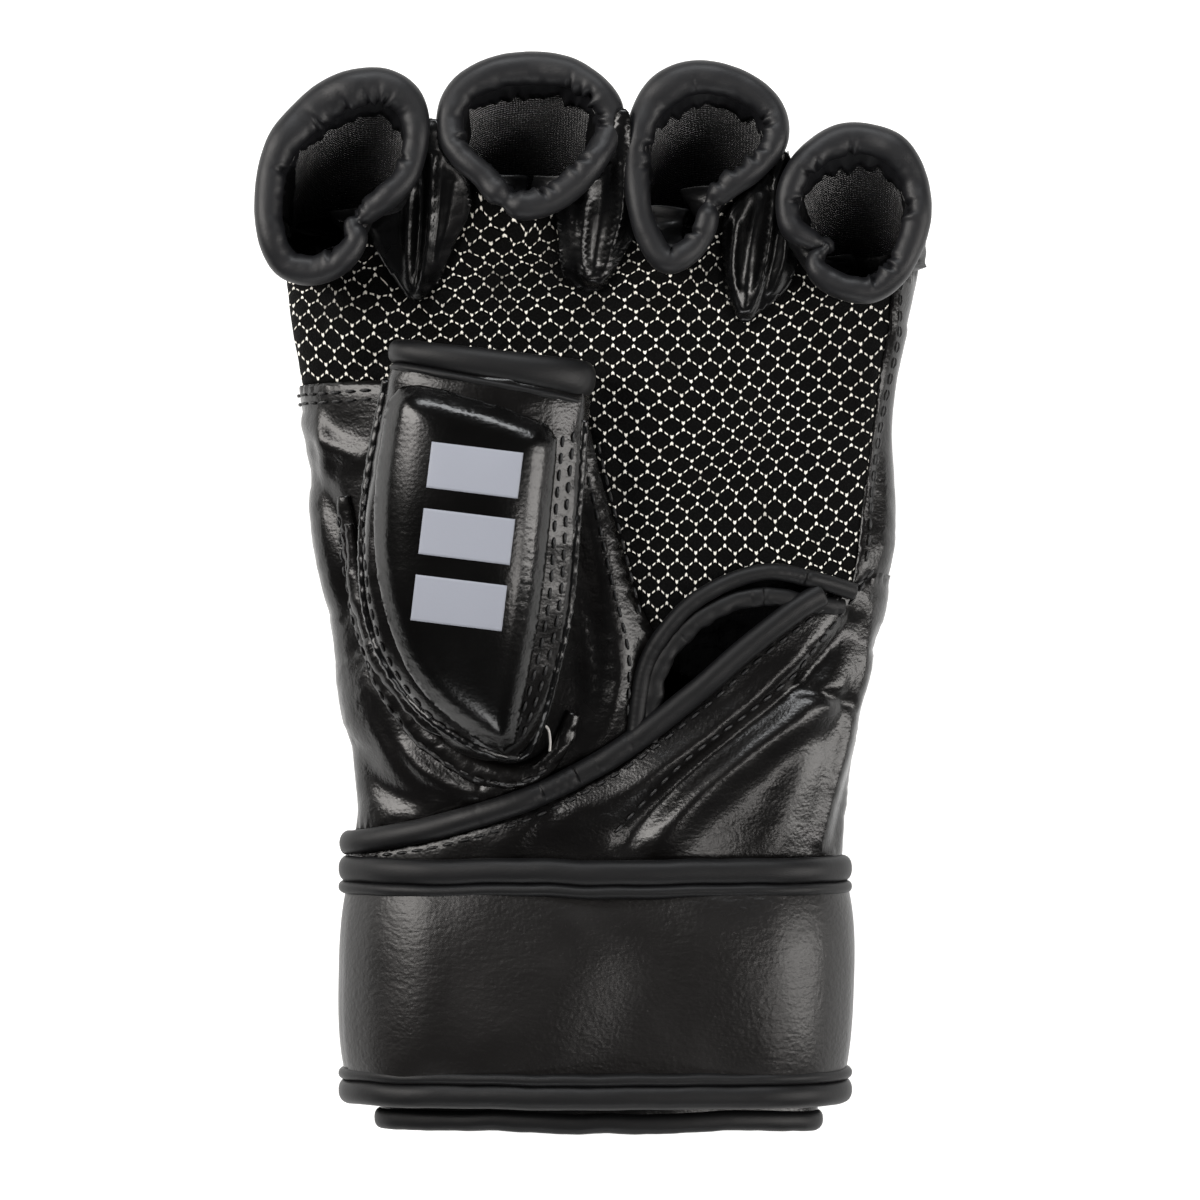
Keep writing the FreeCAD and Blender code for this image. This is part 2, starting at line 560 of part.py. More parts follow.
def thumb():
    """The thumb sheath: a padded cover over the thumb, a plain panel towards the palm, and a raised
    pad with a printed mark, drawn along Y and then leaned towards the little finger."""
    skin, core = thumb_loft("thumb_skin", "0"), thumb_loft("thumb_core", "-{leather}")
    raised = thumb_loft("thumb_raised", "{thumb_pad}")
    inked = thumb_loft("thumb_inked", "{thumb_pad} + {thumb_print}")
    bore, lined = thumb_hole("thumb_bore", "0", beyond="1"), thumb_hole("thumb_lined", "{lining}")
    upper = prism("thumb_upper", "YZ_Plane", [
        ("0", "{thumb_split_low}"), ("{thumb_long}", "{thumb_split}"), ("{thumb_long}", REACH),
        ("0", REACH)], PLAN_DEPTH, both_ways=True)
    pad_plan = prism("thumb_pad_plan", "XY_Plane", THUMB_PAD_PLAN, PLAN_DEPTH)
    pad_ring = cut("thumb_pad_ring", raised, skin)
    ring = cut("thumb_cover_ring", skin, core)
    made = {
        "thumb_cover": common("thumb_cover", ring, upper),
        "thumb_palm_panel": cut("thumb_palm_panel", ring, upper),
        "thumb_foam": cut("thumb_foam", core, lined),
        "thumb_lining": cut("thumb_lining", lined, bore),
        "thumb_pad_cover": common("thumb_pad_cover", common("pad_upper", pad_ring, upper), pad_plan),
        "thumb_print": thumb_print(cut("thumb_ink_ring", inked, raised), upper),
        "thumb_binding": thumb_binding(),
    }
    for node, obj in made.items():
        keep(thumb_place(obj), node)


def thumb_print(ink, upper):
    """Three plain printed bars across the pad."""
    bars = []
    for i in range(3):
        bar = primitive("Part::Box", f"thumb_bar_{i}", Length="2 * {bar_half}", Width="{bar_long}",
                        Height=PLAN_DEPTH)
        bars.append(at(bar, "{bar_x} - {bar_half}", f"{{bar_low}} + {i} * {{bar_step}}", "0"))
    return common("thumb_print", common("thumb_print_upper", ink, upper), fuse("thumb_bars", *bars))


def thumb_binding():
    """The bead round the sheath's open end."""
    half, rise = "{thumb_half} - {thumb_bead}", "{thumb_rise} - {thumb_bead}"
    path = oval("thumb_rim", half, rise, "0", "{thumb_long} + {thumb_bead}", "{thumb_rise}")
    bead = primitive("Part::Circle", "thumb_bead_section", Radius="{thumb_bead}")
    at(bead, half, "{thumb_long} + {thumb_bead}", "{thumb_rise}")
    return sweep("thumb_binding", bead, path)


thumb()
root = primitive("Part::Torus", "thumb_base_fold", Radius1="{root_radius}", Radius2="{root_bead}",
                 Angle3="{root_sweep}")
keep(at(root, "{root_x}", "{root_y}", "{root_z}", Z_AXIS, "{root_start}"), "thumb_base_fold")

# ---------------------------------------------------------------- checks and export

DOC.recompute()
bad = [o.Name for o in DOC.Objects if {"Invalid", "Error"} & set(o.State)]
if bad:
    raise SystemExit(f"failed objects: {bad}")
for obj in PARTS:
    shape = obj.Shape
    if shape.isNull() or not shape.isValid() or not shape.Solids or shape.Volume <= 0:
        raise SystemExit(f"{obj.Label}: no valid solid")

os.makedirs("parts", exist_ok=True)
for obj in PARTS:
    obj.Shape.exportStep(f"parts/{obj.Label}.step")
print(f"{len(PARTS)} sub-parts")
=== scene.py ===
import math

import bmesh
import bpy
import numpy as np
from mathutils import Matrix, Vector, geometry
from mathutils.bvhtree import BVHTree


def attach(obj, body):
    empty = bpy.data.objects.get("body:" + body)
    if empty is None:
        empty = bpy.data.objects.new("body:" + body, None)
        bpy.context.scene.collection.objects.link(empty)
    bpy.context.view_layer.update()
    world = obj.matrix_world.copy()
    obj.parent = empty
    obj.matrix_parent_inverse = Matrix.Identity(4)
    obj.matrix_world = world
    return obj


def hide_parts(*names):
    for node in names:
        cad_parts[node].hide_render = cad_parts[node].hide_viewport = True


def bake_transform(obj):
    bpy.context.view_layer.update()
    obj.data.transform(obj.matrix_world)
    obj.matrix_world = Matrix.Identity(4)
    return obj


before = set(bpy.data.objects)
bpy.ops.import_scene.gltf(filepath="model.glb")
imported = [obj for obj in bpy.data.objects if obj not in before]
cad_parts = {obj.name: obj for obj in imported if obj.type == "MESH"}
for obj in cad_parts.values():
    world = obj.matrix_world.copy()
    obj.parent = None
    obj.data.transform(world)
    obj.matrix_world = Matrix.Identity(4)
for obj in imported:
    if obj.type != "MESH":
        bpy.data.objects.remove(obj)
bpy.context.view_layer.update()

MM = 0.001
SPAN_STEPS = 24  # fine steps between two control points of a curve
RIDGE_STEPS = 60  # places tried along a ridge
CLOTH_STEPS = 20  # frames of the cloth simulation

# ------------------------------------------------------------------ curves and noise


def spline(xs, ys):
    """A smooth function through points, flat beyond the ends."""
    xs, ys = np.array(xs, float), np.array(ys, float)
    slopes = np.gradient(ys, xs)

    def value(x):
        x = np.clip(np.asarray(x, float), xs[0], xs[-1])
        i = np.clip(np.searchsorted(xs, x) - 1, 0, len(xs) - 2)
        h = xs[i + 1] - xs[i]
        t = (x - xs[i]) / h
        a, b = ys[i], ys[i + 1]
        ma, mb = slopes[i] * h, slopes[i + 1] * h
        return ((2 * t**3 - 3 * t**2 + 1) * a + (t**3 - 2 * t**2 + t) * ma
                + (3 * t**2 - 2 * t**3) * b + (t**3 - t**2) * mb)

    return value


def lengths(path):
    """The length along a path at each of its points."""
    return np.concatenate([[0], np.cumsum(np.linalg.norm(np.diff(path, axis=0), axis=1))])


def sampled(path, s, at):
    """A path's points at the lengths at, where s holds the length at each point."""
    return np.stack([np.interp(at, s, column) for column in path.T], 1)


def curve(points, count, closed=False):
    """Points evenly spaced along a smooth curve through control points, whose first two or three
    columns are the place; the rest ride along."""
    p = np.array(points, float)
    n = len(p)
    spans = n if closed else n - 1
    fine = []
    for i in range(spans):
        around = [(i + k) % n if closed else min(max(i + k, 0), n - 1) for k in (-1, 0, 1, 2)]
        a, b, c, d = p[around]
        t = np.linspace(0, 1, SPAN_STEPS, endpoint=False)[:, None]
        fine.append(0.5 * (2 * b + (c - a) * t + (2 * a - 5 * b + 4 * c - d) * t**2
                           + (3 * b - a - 3 * c + d) * t**3))
    fine = np.concatenate([*fine, p[:1] if closed else p[-1:]])
    s = lengths(fine[:, :3])
    return sampled(fine, s, np.linspace(0, s[-1], count, endpoint=not closed))


def noise(p, scale, seed, octaves=3):
    """Smooth noise from -1 to 1 or so at an array of points of any number of columns; scale is its
    features' size in mm."""
    rng = np.random.RandomState(seed)
    p = np.asarray(p, float)
    flat = p.reshape(-1, p.shape[-1])
    total = np.zeros(len(flat))
    amp = 1.0
    for _ in range(octaves):
        for _ in range(5):
            d = rng.normal(size=p.shape[-1])
            d *= (2 * math.pi / scale) * rng.uniform(0.6, 1.4) / np.linalg.norm(d)
            total += amp * 0.32 * np.sin(flat @ d + rng.uniform(0, 6.28))
        amp *= 0.5
        scale *= 0.5
    return total.reshape(p.shape[:-1])


def smoothstep(x):
    x = np.clip(x, 0, 1)
    return x * x * (3 - 2 * x)


def bulged(v, power):
    """A sine or cosine raised to a power, its sign kept."""
    return np.sign(v) * np.abs(v) ** power


def pairs(a, b):
    """Two arrays, broadcast together, as rows of two."""
    return np.stack([v.ravel() for v in np.broadcast_arrays(a, b)], 1)


def nearest(points, border):
    """How far each plan point is from the nearest of the border's points."""
    near = np.full(len(points), 1e9)
    for b in border:
        near = np.minimum(near, np.hypot(points[:, 0] - b[0], points[:, 1] - b[1]))
    return near


def ridge(xy, points, width, height, taper=True):
    """Height of a soft ridge (or a valley, when negative) along a line of points in plan."""
    d = np.full(len(xy), 1e9)
    where = np.zeros(len(xy))
    for i, c in enumerate(curve(points, RIDGE_STEPS)):
        r = np.hypot(xy[:, 0] - c[0], xy[:, 1] - c[1])
        near = r < d
        d[near] = r[near]
        where[near] = i / (RIDGE_STEPS - 1)
    fade = np.sin(np.pi * where) ** 0.5 if taper else 1.0
    return height * np.exp(-((d / width) ** 2)) * fade


def inside(points, border):
    """Which points lie in a polygon."""
    x, y = points[:, 0], points[:, 1]
    found = np.zeros(len(points), bool)
    for (x1, y1), (x2, y2) in zip(border, np.roll(border, -1, 0)):
        crosses = (y1 > y) != (y2 > y)
        with np.errstate(divide="ignore", invalid="ignore"):
            found ^= crosses & (x < (x2 - x1) * (y - y1) / (y2 - y1 + 1e-12) + x1)
    return found


# ------------------------------------------------------------------ forms: (points in mm, faces)


def grid_faces(rows, cols, close_rows=False, close_cols=False):
    return [(i * cols + j, i * cols + (j + 1) % cols,
             (i + 1) % rows * cols + (j + 1) % cols, (i + 1) % rows * cols + j)
            for i in range(rows - (not close_rows)) for j in range(cols - (not close_cols))]


def closed_form(outer, inner, ends=True):
    """A closed solid from two grids of the same shape (rows, cols, 3): rows run across, cols along."""
    rows, cols = outer.shape[:2]
    ring = np.concatenate([outer, inner[:, ::-1]], 1)
    faces = grid_faces(rows, 2 * cols, False, True)
    if ends:
        first = [(j, j + 1, 2 * cols - 2 - j, 2 * cols - 1 - j) for j in range(cols - 1)]
        faces += [face[::-1] for face in first]
        faces += [tuple(i + (rows - 1) * 2 * cols for i in face) for face in first]
    return ring.reshape(-1, 3), faces


def tube(path, normal, half_across, half_out, closed=False, sides=20, power=1.0, wrinkle=None):
    """Sweeps an oval section along a path. normal gives the section's "out" way at each point;
    half_across and half_out its half sizes; wrinkle(s, a) an extra radius at length s and angle a."""
    path = np.asarray(path, float)
    n = len(path)
    normal = np.broadcast_to(np.asarray(normal, float), path.shape)
    ahead = (np.roll(path, -1, 0) - np.roll(path, 1, 0)) if closed else np.gradient(path, axis=0)
    ahead = ahead / np.linalg.norm(ahead, axis=1)[:, None]
    out = normal - (normal * ahead).sum(1)[:, None] * ahead
    out = out / np.linalg.norm(out, axis=1)[:, None]
    side = np.cross(ahead, out)
    across, outward = (np.broadcast_to(np.asarray(v, float), (n,))[:, None] for v in (half_across, half_out))
    a = np.linspace(0, 2 * math.pi, sides, endpoint=False)
    extra = 0.0 if wrinkle is None else wrinkle(lengths(path)[:, None], a[None, :])
    verts = (path[:, None] + side[:, None] * (bulged(np.cos(a), power) * (across + extra))[..., None]
             + out[:, None] * (bulged(np.sin(a), power) * (outward + extra))[..., None])
    faces = grid_faces(n, sides, closed, True)
    if not closed:
        faces += [tuple(range(sides - 1, -1, -1)), tuple(range((n - 1) * sides, n * sides))]
    return verts.reshape(-1, 3), faces


def joined(forms):
    """One form from several."""
    verts, faces, base = [], [], 0
    for v, f in forms:
        verts.append(np.asarray(v, float))
        faces += [tuple(i + base for i in face) for face in f]
        base += len(v)
    return np.concatenate(verts), faces


def fill(border, spacing):
    """Triangles that fill a plan outline, with even points inside it: (points, faces)."""
    lo, hi = border.min(0), border.max(0)
    gx, gy = np.meshgrid(np.arange(lo[0], hi[0], spacing), np.arange(lo[1], hi[1], spacing * 0.866))
    gx[1::2] += spacing / 2
    pts = pairs(gx, gy)
    pts = pts[inside(pts, border)]
    pts = pts[nearest(pts, border) > spacing * 0.45]
    count = len(border)
    edges = [(i, (i + 1) % count) for i in range(count)]
    every = [Vector(p) for p in np.concatenate([border, pts]).tolist()]
    out = geometry.delaunay_2d_cdt(every, edges, [], 0, 1e-5)
    verts = np.array([tuple(v) for v in out[0]])
    mids = np.array([verts[list(f)].mean(0) for f in out[2]])
    return verts, [tuple(f) for f, within in zip(out[2], inside(mids, border)) if within]


# ------------------------------------------------------------------ pieces


def make(name, form, material, body=None, stands=(), slot=None):
    """A piece from a form, on its body, in place of the CAD nodes it stands for."""
    verts, faces = form
    mesh = bpy.data.meshes.new(name)
    mesh.from_pydata((np.asarray(verts, float) * MM).tolist(), [], [tuple(int(i) for i in f) for f in faces])
    mesh.validate()
    mesh.update()
    obj = bpy.data.objects.new(name, mesh)
    bpy.context.scene.collection.objects.link(obj)
    mesh.materials.append(material)
    mesh.polygons.foreach_set("use_smooth", [True] * len(mesh.polygons))
    if body:
        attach(obj, body)
    if stands:
        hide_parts(*stands)
    return obj


def make_closed(*args):
    """A piece whose faces are all turned outwards."""
    obj = make(*args)
    bm = bmesh.new()
    bm.from_mesh(obj.data)
    bmesh.ops.recalc_face_normals(bm, faces=bm.faces)
    bm.to_mesh(obj.data)
    bm.free()
    return obj


def values(items, key, width=3, kind=np.float32):
    """One attribute of all a mesh's points or corners."""
    found = np.zeros(len(items) * width, kind)
    items.foreach_get(key, found)
    return found


def places(obj):
    return values(obj.data.vertices, "co").reshape(-1, 3).astype(float) / MM


def move_to(obj, pts):
    obj.data.vertices.foreach_set("co", (np.asarray(pts) * MM).astype(np.float32).ravel())
    obj.data.update()


def roughen(obj, height):
    """Lifts each point off the skin by height(points), in mm."""
    p = places(obj)
    normals = values(obj.data.vertices, "normal").reshape(-1, 3).astype(float)
    move_to(obj, p + normals * height(p)[:, None])


def cloth_map(obj, uv):
    """Cloth coordinates, in mm, for each vertex."""
    layer = obj.data.uv_layers.new(name="cloth")
    corners = values(obj.data.loops, "vertex_index", 1, np.int32)
    layer.data.foreach_set("uv", np.asarray(uv)[corners].astype(np.float32).ravel())


def thicken(obj, thickness, offset=-1.0):
    mod = obj.modifiers.new("thickness", "SOLIDIFY")
    mod.thickness = thickness * MM
    mod.offset = offset
    mod.use_even_offset = False


def apply_all(obj):
    mesh = bpy.data.meshes.new_from_object(obj.evaluated_get(bpy.context.evaluated_depsgraph_get()))
    obj.modifiers.clear()
    old = obj.data
    obj.data = mesh
    bpy.data.meshes.remove(old)


def subdivide(obj, levels=1):
    mod = obj.modifiers.new("smooth", "SUBSURF")
    mod.levels = mod.render_levels = levels
    apply_all(obj)


def puff(obj, voxel, pressure, cap, levels=1):
    """Fills a closed form: its skin is made cloth and blown from inside, no point moving over cap mm.
    A voxel of 0 keeps the form's own faces."""
    if voxel:
        even = obj.modifiers.new("even", "REMESH")
        even.mode = "VOXEL"
        even.voxel_size = voxel * MM
        apply_all(obj)
    rest = places(obj)
    cloth = obj.modifiers.new("cloth", "CLOTH")
    s = cloth.settings
    s.quality = 6
    s.mass = 0.25
    s.tension_stiffness = s.compression_stiffness = 12
    s.shear_stiffness = 5
    s.bending_stiffness = 0.4
    s.use_pressure = True
    s.uniform_pressure_force = pressure
    s.effector_weights.gravity = 0
    cloth.point_cache.frame_start = 1
    cloth.point_cache.frame_end = CLOTH_STEPS
    for step in range(1, CLOTH_STEPS + 1):
        bpy.context.scene.frame_set(step)
    apply_all(obj)
    bpy.context.scene.frame_set(1)
    moved = places(obj) - rest
    far = np.linalg.norm(moved, axis=1)[:, None]
    move_to(obj, rest + moved * np.minimum(1, cap / np.maximum(far, 1e-9)))
    subdivide(obj, levels)
    obj.data.polygons.foreach_set("use_smooth", [True] * len(obj.data.polygons))


def lining(name, wall, across, along, body, stands, thickness):
    """A knit sheet over a grid of points, with its cloth coordinates in mm."""
    obj = make(name, (wall.reshape(-1, 3), grid_faces(*wall.shape[:2])), KNIT, body, stands, "knit")
    cloth_map(obj, pairs(across, along))
    thicken(obj, thickness, 1.0)
    return obj


# ------------------------------------------------------------------ materials


class Shader:
    """A material, with short ways to add nodes to it. Inputs are values or sockets, by name or number."""

    def __init__(self, name, base, rough, inputs=()):
        self.material = bpy.data.materials.new(name)
        self.material.use_nodes = True
        self.tree = self.material.node_tree
        self.skin = self.tree.nodes["Principled BSDF"]
        self.feed(self.skin, {"Base Color": (*base, 1), "Roughness": rough, **dict(inputs)})

    def feed(self, node, inputs):
        for key, value in inputs.items():
            if isinstance(value, bpy.types.NodeSocket):
                self.tree.links.new(value, node.inputs[key])
            else:
                node.inputs[key].default_value = value

    def node(self, kind, inputs=(), **settings):
        node = self.tree.nodes.new("ShaderNode" + kind)
        for key, value in settings.items():
            setattr(node, key, value)
        self.feed(node, dict(inputs))
        return node

    def math(self, op, *inputs, clamp=False):
        return self.node("Math", enumerate(inputs), operation=op, use_clamp=clamp).outputs[0]

    def mix(self, factor, a, b):
        """The colour between a and b."""
        return self.node("Mix", {0: factor, 6: a, 7: b}, data_type="RGBA").outputs[2]

    def place(self, scale=(1, 1, 1)):
        at = self.node("TexCoord").outputs["Object"]
        return self.node("Mapping", {"Vector": at, "Scale": scale}).outputs["Vector"]

    def cloth(self):
        """The cloth's own coordinates, in mm."""
        uv = self.node("UVMap", uv_map="cloth").outputs["UV"]
        apart = self.node("SeparateXYZ", {0: uv})
        return apart.outputs["X"], apart.outputs["Y"]

    def bump(self, height, strength, distance):
        rise = self.node("Bump", {"Strength": strength, "Distance": distance, "Height": height})
        self.feed(self.skin, {"Normal": rise.outputs["Normal"]})


def leather(name, base, rough, grain, bump, crease=0.0, wear_and_shade=0.0, combed=0.0, shine=0.42):
    """Coated leather: pebbled grain, fine creases, wrinkles combed one way, and roughness that varies."""
    s = Shader(name, base, rough, {"Specular IOR Level": shine})
    at = s.place()
    cells = s.node("TexVoronoi", {"Scale": grain, "Smoothness": 0.6, "Vector": at}, feature="SMOOTH_F1")
    fine = s.node("TexNoise", {"Scale": grain * 0.7, "Detail": 4, "Vector": at})
    broad = s.node("TexNoise", {"Scale": 55, "Detail": 5, "Distortion": 0.6, "Vector": at})
    height = s.math("MULTIPLY_ADD", cells.outputs["Distance"], 0.6, fine.outputs["Fac"])
    if combed:
        along = s.place((0.3, 0.85, 0.85))
        rows = s.node("TexNoise", {"Scale": 760, "Detail": 2, "Distortion": 0.5, "Vector": along})
        height = s.math("MULTIPLY_ADD", rows.outputs["Fac"], combed, height)
    if crease:
        warp = s.node("VectorMath", {0: broad.outputs["Color"], 1: (0.012, 0.012, 0.012), 2: at},
                      operation="MULTIPLY_ADD")
        lines = s.node("TexVoronoi", {"Scale": 190, "Vector": warp.outputs[0]}, feature="DISTANCE_TO_EDGE")
        cut = s.math("MULTIPLY", lines.outputs["Distance"], 9.0, clamp=True)
        height = s.math("MULTIPLY_ADD", cut, crease, height)
    s.bump(height, bump, 0.00022)
    r = s.node("MapRange", {"Value": broad.outputs["Fac"], "From Min": 0.3, "From Max": 0.7,
                            "To Min": rough - 0.03, "To Max": rough + 0.05})
    s.feed(s.skin, {"Roughness": r.outputs["Result"]})
    if wear_and_shade:
        # Paler worn patches at random places: the leather's own tone.
        pale = (*[c * 2.4 + wear_and_shade for c in base], 1)
        s.feed(s.skin, {"Base Color": s.mix(s.math("POWER", broad.outputs["Fac"], 4.0), (*base, 1), pale)})
    return s.material


def mesh_cloth():
    """Black net over black cloth: zigzag rows of cream dashes that meet in knots, so that the holes are
    rounded diamonds. The cloth's own coordinates are in its UV map, in millimetres."""
    s = Shader("mesh_cloth", (0.003, 0.003, 0.0035), 0.8, {"Specular IOR Level": 0.06})
    M = s.math
    x, y = s.cloth()
    half_cell, pitch, swing = 2.33, 3.0, 0.86
    wave = M("MULTIPLY_ADD", M("PINGPONG", M("DIVIDE", x, 2 * half_cell), 0.5), -4.0 * swing, swing)
    even = M("PINGPONG", M("SUBTRACT", y, wave), pitch)
    odd = M("PINGPONG", M("ADD", M("SUBTRACT", y, pitch), wave), pitch)
    off = M("MINIMUM", even, odd)
    run = M("PINGPONG", M("DIVIDE", x, half_cell / 2), 0.5)
    knot = M("MULTIPLY", M("PINGPONG", M("DIVIDE", x, half_cell), 0.5), 3.2)
    knot = M("SUBTRACT", 1.0, knot, clamp=True)
    width = M("MULTIPLY_ADD", knot, 0.2, 0.24)
    cord = M("MULTIPLY", M("SUBTRACT", width, off), 9.0, clamp=True)
    dashed = M("MULTIPLY", M("SUBTRACT", 0.34, run), 9.0, clamp=True)
    thread = M("MULTIPLY", cord, dashed)
    relief = M("MULTIPLY", M("SUBTRACT", 0.62, off), 2.6, clamp=True)
    fade = s.node("TexNoise", {"Scale": 150, "Detail": 3, "Vector": s.place()})
    # Painted shade: the point attribute shade fades the cream threads near the finger loops and beside the thumb,
    # on top of the random fading.
    wear_and_shade = s.node("Attribute", attribute_name="shade")
    patchy = M("SUBTRACT", M("MULTIPLY_ADD", fade.outputs["Fac"], 2.4, -0.1), wear_and_shade.outputs["Fac"], clamp=True)
    shown = M("MULTIPLY", thread, patchy)
    dots = s.node("TexVoronoi", {"Scale": 2300, "Vector": s.place()})
    weave = M("MULTIPLY", M("SUBTRACT", 0.6, dots.outputs["Distance"]), 0.005, clamp=True)
    grey = M("ADD", M("MULTIPLY_ADD", relief, -0.001, 0.0018), weave)
    ground = s.node("CombineColor", {"Red": grey, "Green": grey, "Blue": grey})
    s.feed(s.skin, {"Base Color": s.mix(shown, ground.outputs[0], (1.0, 0.97, 0.88, 1))})
    s.bump(M("MULTIPLY_ADD", shown, 0.35, M("MULTIPLY_ADD", dots.outputs["Distance"], 0.25, relief)), 0.8, 0.0006)
    return s.material


def knit(name, base):
    """Ribbed knit: fine rows across, each of small loops. Its UV map is in millimetres."""
    s = Shader(name, base, 0.75, {"Sheen Weight": 0.35, "Sheen Roughness": 0.4})
    x, y = s.cloth()
    rows = s.math("SINE", s.math("MULTIPLY", y, 2 * math.pi / 0.85))
    loops = s.math("SINE", s.math("MULTIPLY", x, 2 * math.pi / 0.7))
    h = s.math("MULTIPLY_ADD", loops, 0.25, rows)
    s.bump(h, 0.9, 0.0003)
    # Painted shade and highlight: the colour follows the rib relief, darker in the grooves and paler on the crests.
    painted_groove_shade, pale = (*[c * 0.45 for c in base], 1), (*[c * 2.6 for c in base], 1)
    s.feed(s.skin, {"Base Color": s.mix(s.math("MULTIPLY_ADD", h, 0.4, 0.5, clamp=True), painted_groove_shade, pale)})
    return s.material


def simple(name, base, rough, scale, bump, distance=0.0002, sheen=0.0, kind="Noise"):
    """One colour, with a fine even relief."""
    s = Shader(name, base, rough, {"Sheen Weight": sheen})
    grain = s.node("Tex" + kind, {"Scale": scale, "Vector": s.place()})
    s.bump(grain.outputs["Fac" if kind == "Noise" else "Distance"], bump, distance)
    return s.material


LEATHER = leather("leather_panel", (0.0026, 0.0023, 0.0022), 0.26, 1500, 0.24, 0.14, 0.0008, combed=1.3)
SMOOTH = leather("leather_pad", (0.0012, 0.0011, 0.001), 0.2, 1300, 0.15, 0.05, 0.0005, combed=0.7)
STRAP = leather("leather_strap", (0.0048, 0.0042, 0.004), 0.36, 1150, 0.3, 0.05, 0.0012, combed=1.5)
WEB = leather("leather_web", (0.0016, 0.0016, 0.0017), 0.24, 1500, 0.08)
BINDING = leather("leather_binding", (0.0028, 0.0029, 0.0034), 0.5, 1700, 0.12, shine=0.3)
RIM = leather("leather_rim", (0.005, 0.0052, 0.0064), 0.48, 1700, 0.12, shine=0.4)
INNER = leather("leather_inner", (0.0035, 0.0036, 0.004), 0.4, 1500, 0.3, 0.4)
MESH = mesh_cloth()
KNIT = knit("knit_lining", (0.0075, 0.0075, 0.0082))
THREAD = simple("thread", (0.008, 0.008, 0.0085), 0.45, 2500, 0.5)
PALE_THREAD = simple("thread_pale", (0.6, 0.58, 0.55), 0.6, 2500, 0.5)
DARK = simple("backing_cloth", (0.0025, 0.0025, 0.003), 0.9, 1800, 0.6, sheen=0.05)
HOOK = simple("hook_tape", (0.007, 0.007, 0.0075), 0.5, 900, 1.0, 0.0008, kind="Voronoi")
LOOP = simple("loop_tape", (0.009, 0.009, 0.0095), 0.95, 1600, 1.0, 0.0006, sheen=0.3)
PRINT = simple("print_ink", (0.27, 0.285, 0.33), 0.55, 1500, 0.25, 0.00008)


# ------------------------------------------------------------------ the hand's surface

PLACES = [-62, -57, -48, -35, -17, -4, 1, 10, 19, 36, 50, 63, 72, 80, 90, 100]
LEFT = spline(PLACES, [-54.5, -54, -52.8, -54.6, -56.6, -58.4, -60, -62, -63.4, -65, -66.8, -69, -70, -71, -72,
                       -72])
RIGHT = spline(PLACES, [54.5, 54.8, 55.8, 57.6, 60.4, 63.6, 65, 66, 66.2, 66.4, 67.4, 70, 72, 73, 73, 73])
HAND_Y = [-62, -45, -30, -12, 8, 32, 55, 74, 89, 102]
RISE = spline(HAND_Y, [17, 18.6, 20, 21.8, 23, 23.6, 23.5, 22.9, 22.3, 22])
MID = spline(HAND_Y, [23.5, 22.4, 21.5, 21.6, 22, 22.4, 22.9, 26, 30, 34.5])
IN_HALF = spline(HAND_Y, [49.5, 50.7, 52, 54.6, 57.3, 59, 60.5, 62.8, 65, 67])
IN_RISE = spline(HAND_Y, [13, 13.8, 14.5, 14.5, 14.2, 14.2, 14.5, 14.5, 14.5, 14.5])
IN_MID = spline(HAND_Y, [25.5, 25.2, 25, 26.6, 28.7, 29, 29.6, 33, 36.5, 40])
CREASE_Y = spline([-76, -56, -36, -15.5, 4, 23.5, 42, 59, 76], [88, 91, 93.5, 95, 94.5, 93, 88, 80.5, 76])
CREASE_Z = spline([-76, -56, -15.5, 23.5, 59, 76], [24, 15, 11.5, 12, 16.5, 24])
FLAT = 0.84


def halves(left, right, y):
    """The middle and the half width between two edges at y."""
    return (left(y) + right(y)) / 2, (right(y) - left(y)) / 2


def to_turn(x, y):
    """The turn round the hand, in degrees, of a plan place on the palm side: -90 at the left edge,
    90 at the right one, and further where x lies outside the outline."""
    middle, half = halves(LEFT, RIGHT, y)
    t = (x - middle) / half
    on = np.degrees(np.arcsin(np.clip(np.abs(t), 0, 1) ** (1 / FLAT)))
    return np.sign(t) * (on + np.clip(np.abs(t) - 1, 0, 9) * 60)


def seam_turn(y):
    """The turn at which the palm side meets the back."""
    split = np.interp(y, [-60, 55, 107], [20, 19, 30])
    drop = np.clip((MID(y) - split) / RISE(y), 0, 1)
    return 90 + np.degrees(np.arcsin(drop ** (1 / FLAT)))


def seam_place(side, y):
    """The plan place that stands for the side seam at y, on the side given by -1 or 1."""
    middle, half = halves(LEFT, RIGHT, y)
    return middle + side * half * (1 + (seam_turn(y) - 90) / 60)


def seam_run(side, y0, y1, count=24):
    """Plan places along the side seam."""
    return [(float(seam_place(side, y)), float(y)) for y in np.linspace(y0, y1, count)]


def skin(turn, y, lift=0.0):
    """A point of the hand's outside, lifted off it."""
    middle, half = halves(LEFT, RIGHT, y)
    a = np.radians(turn)
    x = middle + (half + lift) * bulged(np.sin(a), FLAT)
    z = MID(y) + (RISE(y) + lift) * bulged(np.cos(a), FLAT)
    return np.stack([x, y + 0 * x, z], -1)


def skin_at(xy):
    """Points of the palm above plan places."""
    return skin(to_turn(xy[:, 0], xy[:, 1]), xy[:, 1])


def skin_normal(turn, y):
    du = skin(turn + 0.5, y) - skin(turn - 0.5, y)
    dv = skin(turn, y + 0.5) - skin(turn, y - 0.5)
    n = np.cross(du, dv)
    return n / np.linalg.norm(n, axis=-1)[..., None]


